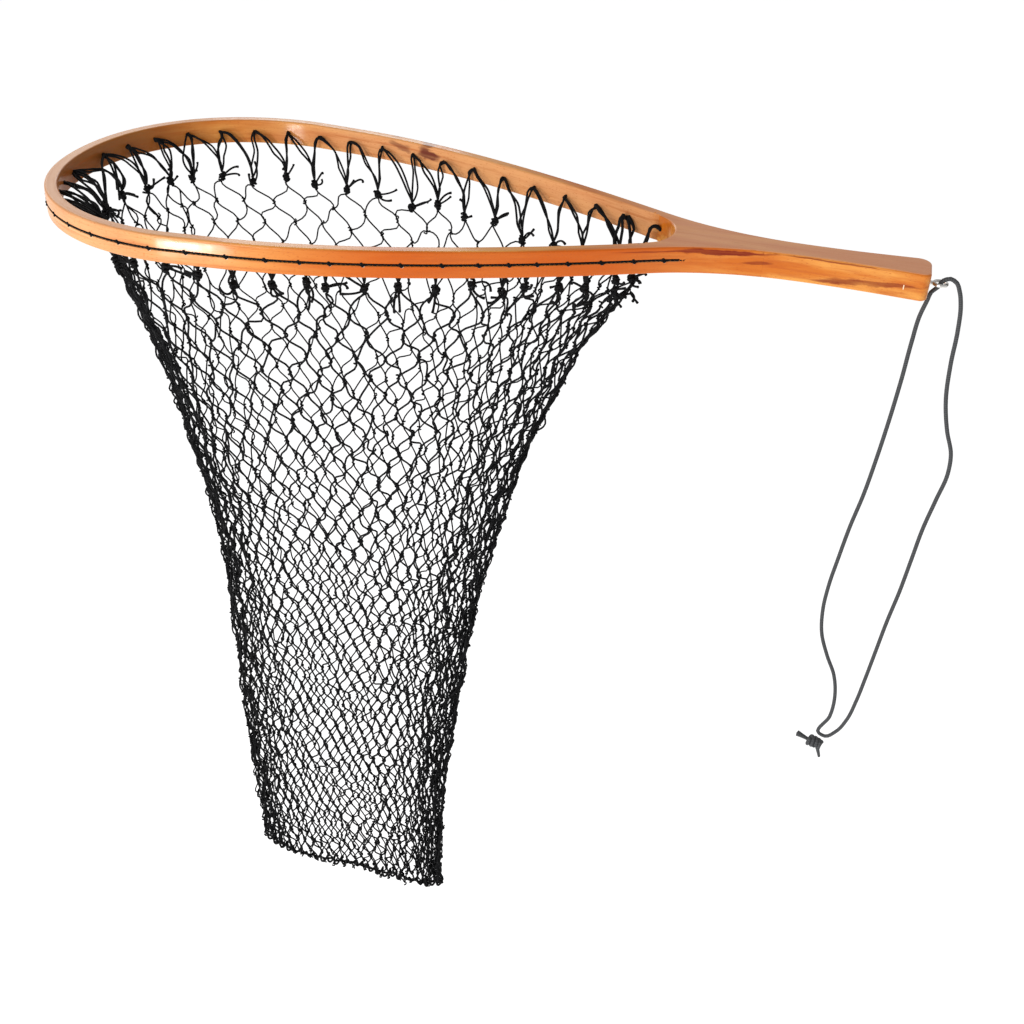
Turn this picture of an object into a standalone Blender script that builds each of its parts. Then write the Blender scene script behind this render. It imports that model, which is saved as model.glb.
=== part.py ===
"""A wooden landing net: a bent hoop scarfed onto a solid handle, a net bag tied to holes round
the hoop, a screw eye in the butt and a knotted lanyard loop.

Metres, +Z up. +X runs along the handle to its butt, the hoop's tip is at -X, and the hoop's two
sides are at -Y and +Y. The origin is the middle of the hand grip, halfway through the wood.
"""

import math

import bmesh
import bpy
import numpy as np
from mathutils import Matrix, Vector

# Wood
TOTAL_LENGTH = 0.600        # tip to butt
GRIP_FROM_TIP = 0.500       # the origin, measured from the tip
TIP_X = -GRIP_FROM_TIP
BUTT_X = TIP_X + TOTAL_LENGTH
WOOD_HEIGHT = 0.018
STRIP_THICKNESS = 0.009
EDGE_CHAMFER = 0.0016
NEAR_BUTT_CORNER = 0.0050
FAR_BUTT_CORNER = 0.0085
NOSE_LENGTH = 0.132         # the tip end of the outline, up to its widest place
NOSE_POWER = 0.935
HALF_WIDTH = 0.1305
NOSE_STEPS = 15
FLANK_STEPS = 31
# half the outside width at distances from the tip, past the widest place
FLANK = (
    (0.132, 0.1305), (0.204, 0.1216), (0.252, 0.1094), (0.300, 0.0926), (0.342, 0.0752),
    (0.378, 0.0587), (0.408, 0.0437), (0.444, 0.0258), (0.492, 0.0132), (0.540, 0.0113),
    (0.600, 0.0150),
)
SCARF_START = 0.416         # where the strip's inner side leaves the hoop and runs into the handle
SCARF_END = 0.490           # where the strip runs out on the handle's flank
SCARF_FEATHER = 0.0012      # the strip's thickness at that end
THROAT_END = 0.436          # the deepest point of the handle's hollow front end
THROAT_RADIUS = 0.0310
THROAT_SWEEP = 1.0          # radians from the axis to where the throat meets the strip
THROAT_POINTS = 9
GLUE_GAP = 0.0003
JOIN_STEP = 0.0006          # between the throat's end and the first point beside the strip
SCARF_LIP = 0.0020          # between the strip's end and the handle's bare flank
CORNER_POINTS = 6

# Groove, lashing and ties
GROOVE_RADIUS = 0.0014
GROOVE_STEPS = 61
GROOVE_INSET = 0.0005       # the groove's centre line lies this far inside the outer face
GROOVE_OVERRUN = 0.0010     # past each end of the lashing
LASHING_RADIUS = 0.00105
TIE_HOLE_RADIUS = 0.0019
TIE_HOLE_SIDES = 8
DRILL_OVERRUN = 0.0035
TIE_RADIUS = 0.0012
TIE_START_GAP = 0.0005      # between the lashing and the tie's end in its hole
TIE_KNOT_SCALE = 1.9
# a tie from its hole to its hitch: share of the way in past the wood, share of the net's pull,
# height, thickness
TIE_SHAPE = (
    (0.69, 0.0, -0.0011, 1.0), (1.0, 0.1, -0.0046, 1.0), (1.0, 1.0, -0.0175, 1.0),
    (1.0, 1.0, -0.0198, TIE_KNOT_SCALE), (1.0, 1.0, -0.0250, TIE_KNOT_SCALE),
)
TIE_THIN = 0.9              # a tie's thickness inside its hole
LAST_HOLE_ARC = 0.531       # measured along the outside from the tip
NEAR_SPACING = 0.0220
FAR_SPACING = 0.0280
NEAR_HOLES = 24
NEAR_CROWD = 0.0105         # the near holes stand up to this much farther from the tip
NEAR_WANDER = 0.0040        # and this much unevenly, as drilled by hand
NEAR_WANDER_COUNT = 6       # holes from one wide place to the next
NEAR_UNEVEN = 18            # counted from the handle, as far as they are uneven
FAR_HOLES = 19
FAR_FIRST_HOLE_ARC = 0.522
LASHING_END_ARC = 0.541

# Net bag: how its two ends and its half depth run from the top edge down to the bottom seam
BAG_TOP = -0.0262
BAG_BOTTOM = -0.671
BAG_WALL = 0.0016
TIE_OFFSET = 0.0122         # from the hoop's outer face in to the ties and the bag's top edge
TIP_PULL = 0.0310           # how far the bag draws them away from the tip, right by it
TIP_PULL_REACH = 0.035
THROAT_PULL = 0.0100        # and away from the throat
THROAT_PULL_PLACE = 0.440
THROAT_PULL_REACH = 0.020
SECTION_EASE = 0.5          # how early the bag turns from the hoop's shape into a flat oval
# height, tip end, handle end, both measured from the tip
BAG_ENDS = (
    (-0.026, 0.0465, 0.4145), (-0.070, 0.0545, 0.3910), (-0.126, 0.0655, 0.3660),
    (-0.200, 0.0740, 0.3395), (-0.300, 0.0870, 0.3165), (-0.430, 0.0915, 0.2985),
    (-0.560, 0.0975, 0.2860), (-0.671, 0.1050, 0.2860),
)
# height, half depth across the bag
BAG_DEPTHS = (
    (-0.026, 0.1190), (-0.080, 0.1010), (-0.160, 0.0760), (-0.260, 0.0520),
    (-0.380, 0.0340), (-0.520, 0.0210), (-0.620, 0.0135), (-0.671, 0.0090),
)
RIM_STEP = 0.004            # between the last tie's place on the rim and the line across the throat
BAG_LEVELS = 13
BAG_SIDES = 28
LACING_RADIUS = 0.0012
LACING_INSET = 0.006        # it stops this far short of the bag's two ends
LACING_POINTS = 12

# Screw eye
EYE_RING_RADIUS = 0.0041    # to the middle of the wire
EYE_WIRE_RADIUS = 0.00115
EYE_RING_GAP = 0.0016       # from the butt face to the ring
EYE_Z = -0.0008
PIVOT_X = BUTT_X + EYE_RING_GAP + EYE_WIRE_RADIUS + 2 * EYE_RING_RADIUS    # the ring's outer side
EYE_RING_SIDES = 24
EYE_WIRE_SIDES = 10
SHANK_RADIUS = 0.00125
SHANK_SIDES = 12
SHANK_DEPTH = 0.015
SHANK_HOLE_RADIUS = 0.00155
SHANK_END_ROOM = 0.001      # of its hole past the shank's end

# Lanyard: its centre line in the plane y = 0, as distance past the butt and height, from the
# knot up one side, through the ring and down the other side to the knot
CORD_RADIUS = 0.0014
LANYARD_ROUTE = (
    (-0.0042, -0.3830), (0.0010, -0.3640), (0.0012, -0.3420), (-0.0030, -0.3230),
    (-0.0110, -0.3060), (-0.0182, -0.2870), (-0.0212, -0.2650), (-0.0208, -0.2430),
    (-0.0182, -0.2170), (-0.0150, -0.1890), (-0.0108, -0.1620), (-0.0078, -0.1340),
    (-0.0052, -0.1030), (-0.0032, -0.0700), (-0.0022, -0.0420), (-0.0010, -0.0240),
    (0.0014, -0.0128), (0.0026, -0.0072), (0.0058, -0.0034), (0.0078, 0.0012), (0.0118, 0.0032),
    (0.0162, 0.0014), (0.0194, -0.0042), (0.0220, -0.0130), (0.0240, -0.0300),
    (0.0248, -0.0540), (0.0274, -0.0800), (0.0330, -0.1020), (0.0392, -0.1190),
    (0.0404, -0.1340), (0.0372, -0.1560), (0.0336, -0.1800), (0.0312, -0.2080),
    (0.0288, -0.2360), (0.0254, -0.2640), (0.0228, -0.2920), (0.0202, -0.3200),
    (0.0176, -0.3440), (0.0140, -0.3640), (0.0080, -0.3780), (0.0008, -0.3848),
)
LANYARD_DRAFT = 800
LANYARD_SIDE_POINTS = 28    # along each side of the loop
LANYARD_RING_POINTS = 22    # by the ring
RING_REACH = 0.024
KNOT_CENTRE = (-0.0062, -0.3925)
KNOT_LENGTH = 0.0200
KNOT_RADIUS = 0.0046
KNOT_TILT = math.radians(18)
KNOT_SIDES = 12
KNOT_RINGS = 8
FACE_GAP = 0.0003

WOOD = (0.55, 0.24, 0.08)
BLACK_TWINE = (0.012, 0.012, 0.014)
CORD_GREY = (0.045, 0.048, 0.052)
NICKEL = (0.62, 0.60, 0.57)


# ---------------------------------------------------------------- helpers


def clear_scene():
    for item in list(bpy.data.objects):
        bpy.data.objects.remove(item, do_unlink=True)


def new_collection(name, hidden=False):
    collection = bpy.data.collections.new(name)
    bpy.context.scene.collection.children.link(collection)
    collection.hide_render = hidden
    return collection


def move_to(made, collection):
    for owner in list(made.users_collection):
        owner.objects.unlink(made)
    collection.objects.link(made)


def material(name, colour, roughness, metallic=0.0):
    made = bpy.data.materials.new(name)
    made.use_nodes = True
    shader = made.node_tree.nodes["Principled BSDF"]
    shader.inputs["Base Color"].default_value = (*colour, 1.0)
    shader.inputs["Roughness"].default_value = roughness
    shader.inputs["Metallic"].default_value = metallic
    return made


def smooth_path(points, count):
    """Evenly spaced points on a smooth curve through the given ones."""
    knots = np.array(points, float)
    spans = np.linalg.norm(np.diff(knots, axis=0), axis=1)
    at = np.concatenate([[0.0], np.cumsum(spans)])
    slopes = np.gradient(knots, at, axis=0)
    fine = np.linspace(0.0, at[-1], 40 * len(knots))
    span = np.clip(np.searchsorted(at, fine, side="right") - 1, 0, len(at) - 2)
    width = (at[span + 1] - at[span])[:, None]
    t = (fine - at[span])[:, None] / width
    start = knots[span] * (1 + 2 * t) * (1 - t) ** 2 + slopes[span] * width * t * (1 - t) ** 2
    end = knots[span + 1] * t * t * (3 - 2 * t) + slopes[span + 1] * width * t * t * (t - 1)
    dense = start + end
    run = np.concatenate([[0.0], np.cumsum(np.linalg.norm(np.diff(dense, axis=0), axis=1))])
    even = np.linspace(0.0, run[-1], count)
    return np.stack([np.interp(even, run, dense[:, i]) for i in range(dense.shape[1])], axis=1)


def smooth_value(table, at, column=1):
    """One column of a table read smoothly against its first column."""
    rows = np.array(table, float)
    order = np.argsort(rows[:, 0])
    x, y = rows[order, 0], rows[order, column]
    slope = np.gradient(y, x)
    i = int(np.clip(np.searchsorted(x, at) - 1, 0, len(x) - 2))
    width = x[i + 1] - x[i]
    t = min(max((at - x[i]) / width, 0.0), 1.0)
    start = y[i] * (1 + 2 * t) * (1 - t) ** 2 + slope[i] * width * t * (1 - t) ** 2
    return start + y[i + 1] * t * t * (3 - 2 * t) + slope[i + 1] * width * t * t * (t - 1)


def tube(name, points, radius, collection, look=None, scales=None, sides=2):
    """A round rod with capped ends along points, as a curve object."""
    curve = bpy.data.curves.new(name, "CURVE")
    curve.dimensions = "3D"
    curve.bevel_depth = radius
    curve.bevel_resolution = sides
    curve.use_fill_caps = True
    spline = curve.splines.new("POLY")
    spline.points.add(len(points) - 1)
    for i, place in enumerate(points):
        spline.points[i].co = (*place, 1.0)
        spline.points[i].radius = 1.0 if scales is None else scales[i]
    made = bpy.data.objects.new(name, curve)
    collection.objects.link(made)
    if look:
        curve.materials.append(look)
    return made


def to_mesh(source, collection):
    """Turn a curve object into a mesh object of the same name, with its caps welded."""
    bpy.context.view_layer.update()
    evaluated = source.evaluated_get(bpy.context.evaluated_depsgraph_get())
    mesh = bpy.data.meshes.new_from_object(evaluated)
    shape = bmesh.new()
    shape.from_mesh(mesh)
    bmesh.ops.remove_doubles(shape, verts=shape.verts, dist=1e-6)
    bmesh.ops.recalc_face_normals(shape, faces=shape.faces)
    shape.to_mesh(mesh)
    shape.free()
    name, place, looks = source.name, source.matrix_world.copy(), list(source.data.materials)
    bpy.data.objects.remove(source, do_unlink=True)
    made = bpy.data.objects.new(name, mesh)
    made.matrix_world = place
    collection.objects.link(made)
    if looks and not mesh.materials:
        mesh.materials.append(looks[0])
    return made


def slab(name, outline, collection, look):
    """A flat outline in plan, extruded to the wood's height."""
    curve = bpy.data.curves.new(name, "CURVE")
    curve.dimensions = "2D"
    curve.fill_mode = "BOTH"
    curve.extrude = WOOD_HEIGHT / 2
    spline = curve.splines.new("POLY")
    spline.points.add(len(outline) - 1)
    for i, (x, y) in enumerate(outline):
        spline.points[i].co = (x, y, 0.0, 1.0)
    spline.use_cyclic_u = True
    made = bpy.data.objects.new(name, curve)
    collection.objects.link(made)
    curve.materials.append(look)
    return to_mesh(made, collection)


def break_edges(made):
    """Chamfer the long edges between the flat faces and the sides."""
    bevel = made.modifiers.new("edges", "BEVEL")
    bevel.width = EDGE_CHAMFER
    bevel.segments = 1
    bevel.limit_method = "ANGLE"
    bevel.angle_limit = math.radians(60)


def cut(made, cutter):
    """Subtract a cutter, which stays in the file as a wire guide."""
    cutter.hide_render = True
    cutter.display_type = "WIRE"
    boolean = made.modifiers.new(cutter.name, "BOOLEAN")
    boolean.operation = "DIFFERENCE"
    boolean.solver = "EXACT"
    boolean.object = cutter


def smooth_shade(made, angle=35):
    made.data.shade_smooth()
    made.data.set_sharp_from_angle(angle=math.radians(angle))


# ---------------------------------------------------------------- the wood's outline


def half_outline():
    """Half the outside edge in plan, tip to butt, as (distance from tip, half width)."""
    turn = np.linspace(0.0, math.pi / 2, NOSE_STEPS)
    nose = np.stack([NOSE_LENGTH * (1 - np.cos(turn) ** NOSE_POWER),
                     HALF_WIDTH * np.sin(turn) ** NOSE_POWER], axis=1)
    along = np.linspace(NOSE_LENGTH, TOTAL_LENGTH, FLANK_STEPS)[1:]
    flank = [(x, smooth_value(FLANK, x)) for x in along]
    return np.concatenate([nose, flank])


def arc_lengths(path):
    return np.concatenate([[0.0], np.cumsum(np.linalg.norm(np.diff(path, axis=0), axis=1))])


def inward_normals(path):
    """Unit directions in plan that point from the outside edge into the hoop."""
    step = np.gradient(path, axis=0)
    step[0] = (0.0, 1.0)
    normals = np.stack([step[:, 1], -step[:, 0]], axis=1)
    return normals / np.linalg.norm(normals, axis=1)[:, None]


def strip_thickness(from_tip):
    """The bent strip is even round the hoop and feathers out along the handle."""
    if from_tip < SCARF_START:
        return STRIP_THICKNESS
    share = (from_tip - SCARF_START) / (SCARF_END - SCARF_START)
    return STRIP_THICKNESS + (SCARF_FEATHER - STRIP_THICKNESS) * share


def mirrored(path):
    """A half path on +Y continued by its mirror image on -Y, without repeating the tip."""
    other = path[::-1] * np.array([1.0, -1.0])
    if abs(path[0][1]) < 1e-9:
        other = other[:-1]
    return np.concatenate([other, path])


def to_row(path):
    """Distances from the tip become positions in the part's own frame."""
    return np.array(path) + np.array([TIP_X, 0.0])


def strip_sides():
    """The outer and inner edges of half the bent strip, up to the scarf's end."""
    path = half_outline()
    normals = inward_normals(path)
    keep = path[:, 0] <= SCARF_END + 1e-6
    path, normals = path[keep], normals[keep]
    depth = np.array([strip_thickness(x) for x, _ in path])[:, None]
    inner = path + normals * depth
    inner[0, 1] = 0.0
    return path, inner


def build_drill(cutters):
    """One cutter with a drill for each tie hole, through the strip and, by the throat, the handle."""
    drills = bmesh.new()
    for place, inward in tie_places():
        depth = wood_depth(place, inward)
        turn = inward.to_track_quat("Z", "Y").to_matrix().to_4x4()
        bmesh.ops.create_cone(
            drills, cap_ends=True, segments=TIE_HOLE_SIDES, radius1=TIE_HOLE_RADIUS, radius2=TIE_HOLE_RADIUS,
            depth=depth + 2 * DRILL_OVERRUN,
            matrix=Matrix.Translation(place + inward * (depth / 2)) @ turn)
    mesh = bpy.data.meshes.new("hole_cutter")
    drills.to_mesh(mesh)
    drills.free()
    drill = bpy.data.objects.new("hole_cutter", mesh)
    cutters.objects.link(drill)
    return drill


def build_hoop(collection, cutters, drill, look):
    outer, inner = strip_sides()
    outline = np.concatenate([mirrored(outer), mirrored(inner)[::-1]])
    hoop = slab("hoop", to_row(outline), collection, look)
    break_edges(hoop)
    groove = tube("groove_cutter", lashing_line(GROOVE_OVERRUN), GROOVE_RADIUS, cutters, sides=1)
    groove = to_mesh(groove, cutters)
    cut(hoop, groove)
    cut(hoop, drill)
    smooth_shade(hoop)


def handle_outline(corner):
    """Half the handle, which fills the space between the strip's tails and runs on to the butt."""
    path, inner = half_outline(), strip_sides()[1]
    centre = THROAT_END - THROAT_RADIUS
    throat = [(centre + THROAT_RADIUS * math.cos(a), THROAT_RADIUS * math.sin(a))
              for a in np.linspace(0.0, THROAT_SWEEP, THROAT_POINTS)]
    beside = inner + inward_normals(inner) * GLUE_GAP
    beside = beside[beside[:, 0] > throat[-1][0] + JOIN_STEP]
    bare = path[(path[:, 0] > SCARF_END + SCARF_LIP) & (path[:, 0] < TOTAL_LENGTH - corner)]
    width = FLANK[-1][1]
    bend = [(TOTAL_LENGTH - corner * (1 - math.sin(a)), width - corner * (1 - math.cos(a)))
            for a in np.linspace(0, math.pi / 2, CORNER_POINTS)]
    return np.concatenate([throat, beside, bare, bend])


def build_handle(collection, cutters, tie_drill, look):
    far, near = handle_outline(FAR_BUTT_CORNER), handle_outline(NEAR_BUTT_CORNER)
    other = (near[::-1] * np.array([1.0, -1.0]))[:-1]
    handle = slab("handle", to_row(np.concatenate([far, other])), collection, look)
    break_edges(handle)
    bore = bmesh.new()
    turn = Matrix.Rotation(math.pi / 2, 4, "Y")
    place = Matrix.Translation((BUTT_X - SHANK_DEPTH / 2, 0.0, EYE_Z))
    bmesh.ops.create_cone(
        bore, cap_ends=True, segments=SHANK_SIDES, radius1=SHANK_HOLE_RADIUS, radius2=SHANK_HOLE_RADIUS,
        depth=SHANK_DEPTH + 2 * SHANK_END_ROOM, matrix=place @ turn)
    mesh = bpy.data.meshes.new("eye_hole_cutter")
    bore.to_mesh(mesh)
    bore.free()
    drill = bpy.data.objects.new("eye_hole_cutter", mesh)
    cutters.objects.link(drill)
    cut(handle, drill)
    cut(handle, tie_drill)
    smooth_shade(handle)


# ---------------------------------------------------------------- lashing and ties


def point_at_arc(arc, side):
    """A point on the outside edge and the inward direction there. side is +1 or -1."""
    path = half_outline()
    run = arc_lengths(path)
    normals = inward_normals(path)
    x, y = (float(np.interp(arc, run, path[:, i])) for i in range(2))
    nx, ny = (float(np.interp(arc, run, normals[:, i])) for i in range(2))
    inward = Vector((nx, side * ny, 0.0)).normalized()
    return Vector((TIP_X + x, side * y, 0.0)), inward


def wood_depth(place, inward):
    """How much wood a hole passes: the strip, or as far as the throat where the handle backs it."""
    centre = Vector((TIP_X + THROAT_END - THROAT_RADIUS, 0.0, 0.0))
    away = place - centre
    along = away.dot(inward)
    square = along * along - (away.length_squared - THROAT_RADIUS ** 2)
    if square <= 0.0 or place.x < TIP_X + SCARF_START:
        return STRIP_THICKNESS
    return max(STRIP_THICKNESS, -along - math.sqrt(square))


def lashing_line(end_extra=0.0):
    """The groove's centre line, round the outside from one end hole to the other."""
    reach = LASHING_END_ARC + end_extra
    line = []
    for arc in np.linspace(-reach, reach, GROOVE_STEPS):
        place, inward = point_at_arc(abs(arc), 1 if arc > 0 else -1)
        line.append(place + inward * GROOVE_INSET)
    return line


def near_hole_arc(number):
    """Where a near hole is drilled: evenly by the handle and the tip, unevenly between."""
    swell = math.sin(math.pi * min(number / NEAR_UNEVEN, 1.0))
    wander = math.sin(2 * math.pi * (number / NEAR_WANDER_COUNT - 0.75))
    return LAST_HOLE_ARC - number * NEAR_SPACING + (NEAR_CROWD + NEAR_WANDER * wander) * swell


def tie_places():
    """Outer-face points and inward directions of the holes, from the handle's near side round."""
    near = [(near_hole_arc(i), -1) for i in range(NEAR_HOLES)]
    far = [(FAR_FIRST_HOLE_ARC - i * FAR_SPACING, 1) for i in range(FAR_HOLES)]
    return [point_at_arc(arc, side) for arc, side in near + far[::-1]]


def net_pull(from_tip):
    """How far along the hoop the bag draws its ties: away from the tip, and from the throat."""
    by_tip = TIP_PULL * np.exp(-from_tip / TIP_PULL_REACH)
    by_throat = THROAT_PULL * np.exp(-np.abs(from_tip - THROAT_PULL_PLACE) / THROAT_PULL_REACH)
    return by_tip - by_throat


def build_lashing(collection, look):
    tube("groove_lashing", lashing_line(), LASHING_RADIUS, collection, look)


def build_ties(collection, look):
    """Each tie comes through its hole and hangs down inside the hoop to its hitch."""
    start = GROOVE_INSET + LASHING_RADIUS + TIE_START_GAP
    for number, (place, inward) in enumerate(tie_places(), start=1):
        inner = place + inward * wood_depth(place, inward)
        pull = Vector((float(net_pull(place.x - TIP_X)), 0.0, 0.0))
        reach = inward * (TIE_OFFSET - STRIP_THICKNESS)
        points = [place + inward * start, inner]
        points += [inner + reach * share + pull * drawn + Vector((0.0, 0.0, height))
                   for share, drawn, height, _ in TIE_SHAPE]
        scales = [TIE_THIN, TIE_THIN] + [scale for *_, scale in TIE_SHAPE]
        tube(f"net_tie_{number:02d}", points, TIE_RADIUS, collection, look, scales, sides=1)


# ---------------------------------------------------------------- net bag


def bag_rim():
    """Half the bag's top edge in plan: along the ties, then straight across by the throat."""
    path = half_outline()
    inside = path + inward_normals(path) * TIE_OFFSET
    inside[:, 0] += net_pull(path[:, 0])
    end = BAG_ENDS[0][2]
    inside = inside[(inside[:, 0] < end - RIM_STEP) & (path[:, 0] < THROAT_END)]
    inside[0, 1] = 0.0
    return np.concatenate([inside, [(end, 0.0)]])


def bag_section(height):
    """One closed level of the bag: the rim's shape at the top, a flat oval lower down."""
    rim = bag_rim()
    run = arc_lengths(rim)
    shares = np.linspace(0.0, 1.0, BAG_SIDES // 2 + 1)
    x = np.interp(shares * run[-1], run, rim[:, 0])
    y = np.interp(shares * run[-1], run, rim[:, 1])
    tear_x = (x - x[0]) / (x[-1] - x[0])
    tear_y = y / y.max()
    oval_x = (1 - np.cos(math.pi * shares)) / 2
    oval_y = np.sin(math.pi * shares)
    blend = ((height - BAG_TOP) / (BAG_BOTTOM - BAG_TOP)) ** SECTION_EASE
    flat_x = tear_x + (oval_x - tear_x) * blend
    flat_y = tear_y + (oval_y - tear_y) * blend
    left = smooth_value(BAG_ENDS, height, 1)
    right = smooth_value(BAG_ENDS, height, 2)
    depth = smooth_value(BAG_DEPTHS, height)
    half = [(TIP_X + left + (right - left) * fx, depth * fy, height)
            for fx, fy in zip(flat_x, flat_y)]
    other = [(px, -py, pz) for px, py, pz in half[-2:0:-1]]
    return half + other


def build_bag(collection, look):
    shape = bmesh.new()
    levels = []
    for share in np.linspace(0.0, 1.0, BAG_LEVELS):
        height = BAG_TOP + (BAG_BOTTOM - BAG_TOP) * share
        levels.append([shape.verts.new(place) for place in bag_section(height)])
    for upper, lower in zip(levels, levels[1:]):
        for i in range(BAG_SIDES):
            j = (i + 1) % BAG_SIDES
            shape.faces.new((upper[i], upper[j], lower[j], lower[i]))
    shape.faces.new(levels[-1])
    bmesh.ops.recalc_face_normals(shape, faces=shape.faces)
    mesh = bpy.data.meshes.new("net_bag")
    shape.to_mesh(mesh)
    shape.free()
    bag = bpy.data.objects.new("net_bag", mesh)
    collection.objects.link(bag)
    mesh.materials.append(look)
    wall = bag.modifiers.new("wall", "SOLIDIFY")
    wall.thickness = BAG_WALL
    wall.offset = -1.0
    bag.data.shade_smooth()


def build_lacing(collection, look):
    """The twine that closes the bag along its bottom seam."""
    left, right = BAG_ENDS[-1][1] + LACING_INSET, BAG_ENDS[-1][2] - LACING_INSET
    height = BAG_BOTTOM - LACING_RADIUS - FACE_GAP
    points = [(TIP_X + x, 0.0, height) for x in np.linspace(left, right, LACING_POINTS)]
    tube("bottom_lacing", points, LACING_RADIUS, collection, look)


# ---------------------------------------------------------------- screw eye and lanyard


def build_eye(collection, cutters, look):
    ring_x = BUTT_X + EYE_RING_GAP + EYE_WIRE_RADIUS + EYE_RING_RADIUS
    bpy.ops.mesh.primitive_torus_add(
        major_radius=EYE_RING_RADIUS, minor_radius=EYE_WIRE_RADIUS, major_segments=EYE_RING_SIDES,
        minor_segments=EYE_WIRE_SIDES, location=(ring_x, 0.0, EYE_Z))
    eye = bpy.context.object
    eye.name = "screw_eye"
    move_to(eye, collection)
    shank_end = ring_x - EYE_RING_RADIUS
    shank_start = BUTT_X - SHANK_DEPTH + SHANK_END_ROOM
    bpy.ops.mesh.primitive_cylinder_add(
        vertices=SHANK_SIDES, radius=SHANK_RADIUS, depth=shank_end - shank_start,
        location=((shank_start + shank_end) / 2, 0.0, EYE_Z), rotation=(0.0, math.pi / 2, 0.0))
    shank = bpy.context.object
    shank.name = "shank_tool"
    move_to(shank, cutters)
    shank.hide_render = True
    shank.display_type = "WIRE"
    join = eye.modifiers.new("shank", "BOOLEAN")
    join.operation = "UNION"
    join.solver = "EXACT"
    join.object = shank
    eye.data.materials.append(look)
    smooth_shade(eye)


def lanyard_line():
    """The cord's centre line, with its points closer together where it goes through the ring."""
    dense = smooth_path([(BUTT_X + past, height) for past, height in LANYARD_ROUTE], LANYARD_DRAFT)
    run = arc_lengths(dense)
    at_ring = run[np.argmin(np.linalg.norm(dense - (PIVOT_X, EYE_Z), axis=1))]
    before, after = at_ring - RING_REACH, at_ring + RING_REACH
    places = np.concatenate([
        np.linspace(0.0, before, LANYARD_SIDE_POINTS, endpoint=False),
        np.linspace(before, after, LANYARD_RING_POINTS),
        np.linspace(after, run[-1], LANYARD_SIDE_POINTS + 1)[1:]])
    return [(np.interp(at, run, dense[:, 0]), 0.0, np.interp(at, run, dense[:, 1]))
            for at in places]


def build_lanyard(collection, look):
    """The cord loop hangs from an empty on the outer side of the ring, where it swings."""
    pivot = bpy.data.objects.new("lanyard_pivot", None)
    pivot.location = (PIVOT_X, 0.0, EYE_Z)
    collection.objects.link(pivot)
    origin = np.array(pivot.location)
    points = [tuple(np.array(place) - origin) for place in lanyard_line()]
    cord = tube("lanyard_cord", points, CORD_RADIUS, collection, look)
    cord.parent = pivot
    bpy.ops.mesh.primitive_uv_sphere_add(segments=KNOT_SIDES, ring_count=KNOT_RINGS, radius=1.0)
    knot = bpy.context.object
    knot.name = "lanyard_knot"
    move_to(knot, collection)
    size = Matrix.Diagonal((KNOT_LENGTH / 2, KNOT_RADIUS, KNOT_RADIUS, 1.0))
    knot.data.transform(Matrix.Rotation(KNOT_TILT, 4, "Y") @ size)
    knot.data.materials.append(look)
    knot.location = (BUTT_X + KNOT_CENTRE[0] - origin[0], 0.0, KNOT_CENTRE[1] - origin[2])
    knot.parent = pivot
    knot.data.shade_smooth()


def main():
    clear_scene()
    collection = new_collection("landing_net")
    cutters = new_collection("cutters", hidden=True)
    wood = material("varnished_wood", WOOD, 0.3)
    twine = material("black_twine", BLACK_TWINE, 0.7)
    cord_look = material("lanyard_cord", CORD_GREY, 0.6)
    nickel = material("nickel_wire", NICKEL, 0.25, 1.0)
    drill = build_drill(cutters)
    build_handle(collection, cutters, drill, wood)
    build_hoop(collection, cutters, drill, wood)
    build_lashing(collection, twine)
    build_ties(collection, twine)
    build_bag(collection, twine)
    build_lacing(collection, twine)
    build_eye(collection, cutters, nickel)
    build_lanyard(collection, cord_look)


main()
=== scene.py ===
"""The landing net's looks: varnished wood, twine ties, knotted netting, a screw eye and its lanyard.

Metres, +Z up, in the part's own frame: +X to the butt, the hoop's tip at -X.
"""

import math

import bmesh
import bpy
import numpy as np
from mathutils import Matrix, Vector
from mathutils.kdtree import KDTree


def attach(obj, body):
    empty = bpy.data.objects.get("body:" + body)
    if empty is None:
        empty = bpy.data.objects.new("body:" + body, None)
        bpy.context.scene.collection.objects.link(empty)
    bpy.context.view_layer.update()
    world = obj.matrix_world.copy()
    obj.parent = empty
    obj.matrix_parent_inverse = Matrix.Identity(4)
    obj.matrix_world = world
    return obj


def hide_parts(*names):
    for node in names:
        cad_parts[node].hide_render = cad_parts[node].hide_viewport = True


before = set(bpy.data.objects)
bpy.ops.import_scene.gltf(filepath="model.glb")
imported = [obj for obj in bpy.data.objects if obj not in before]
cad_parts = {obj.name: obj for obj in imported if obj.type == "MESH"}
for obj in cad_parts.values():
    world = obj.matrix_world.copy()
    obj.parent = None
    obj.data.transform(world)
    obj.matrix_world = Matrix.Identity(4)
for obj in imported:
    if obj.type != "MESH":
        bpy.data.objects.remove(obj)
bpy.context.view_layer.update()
rng = np.random.default_rng(11)

# ---------------------------------------------------------------- sizes, as in the part

TOTAL_LENGTH = 0.600
TIP_X = -0.500
BUTT_X = TIP_X + TOTAL_LENGTH
HALF_HEIGHT = 0.009
STRIP = 0.009
EDGE_ROUND = 0.0016
NOSE_LENGTH = 0.132
NOSE_POWER = 0.935
HALF_WIDTH = 0.1305
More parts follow.
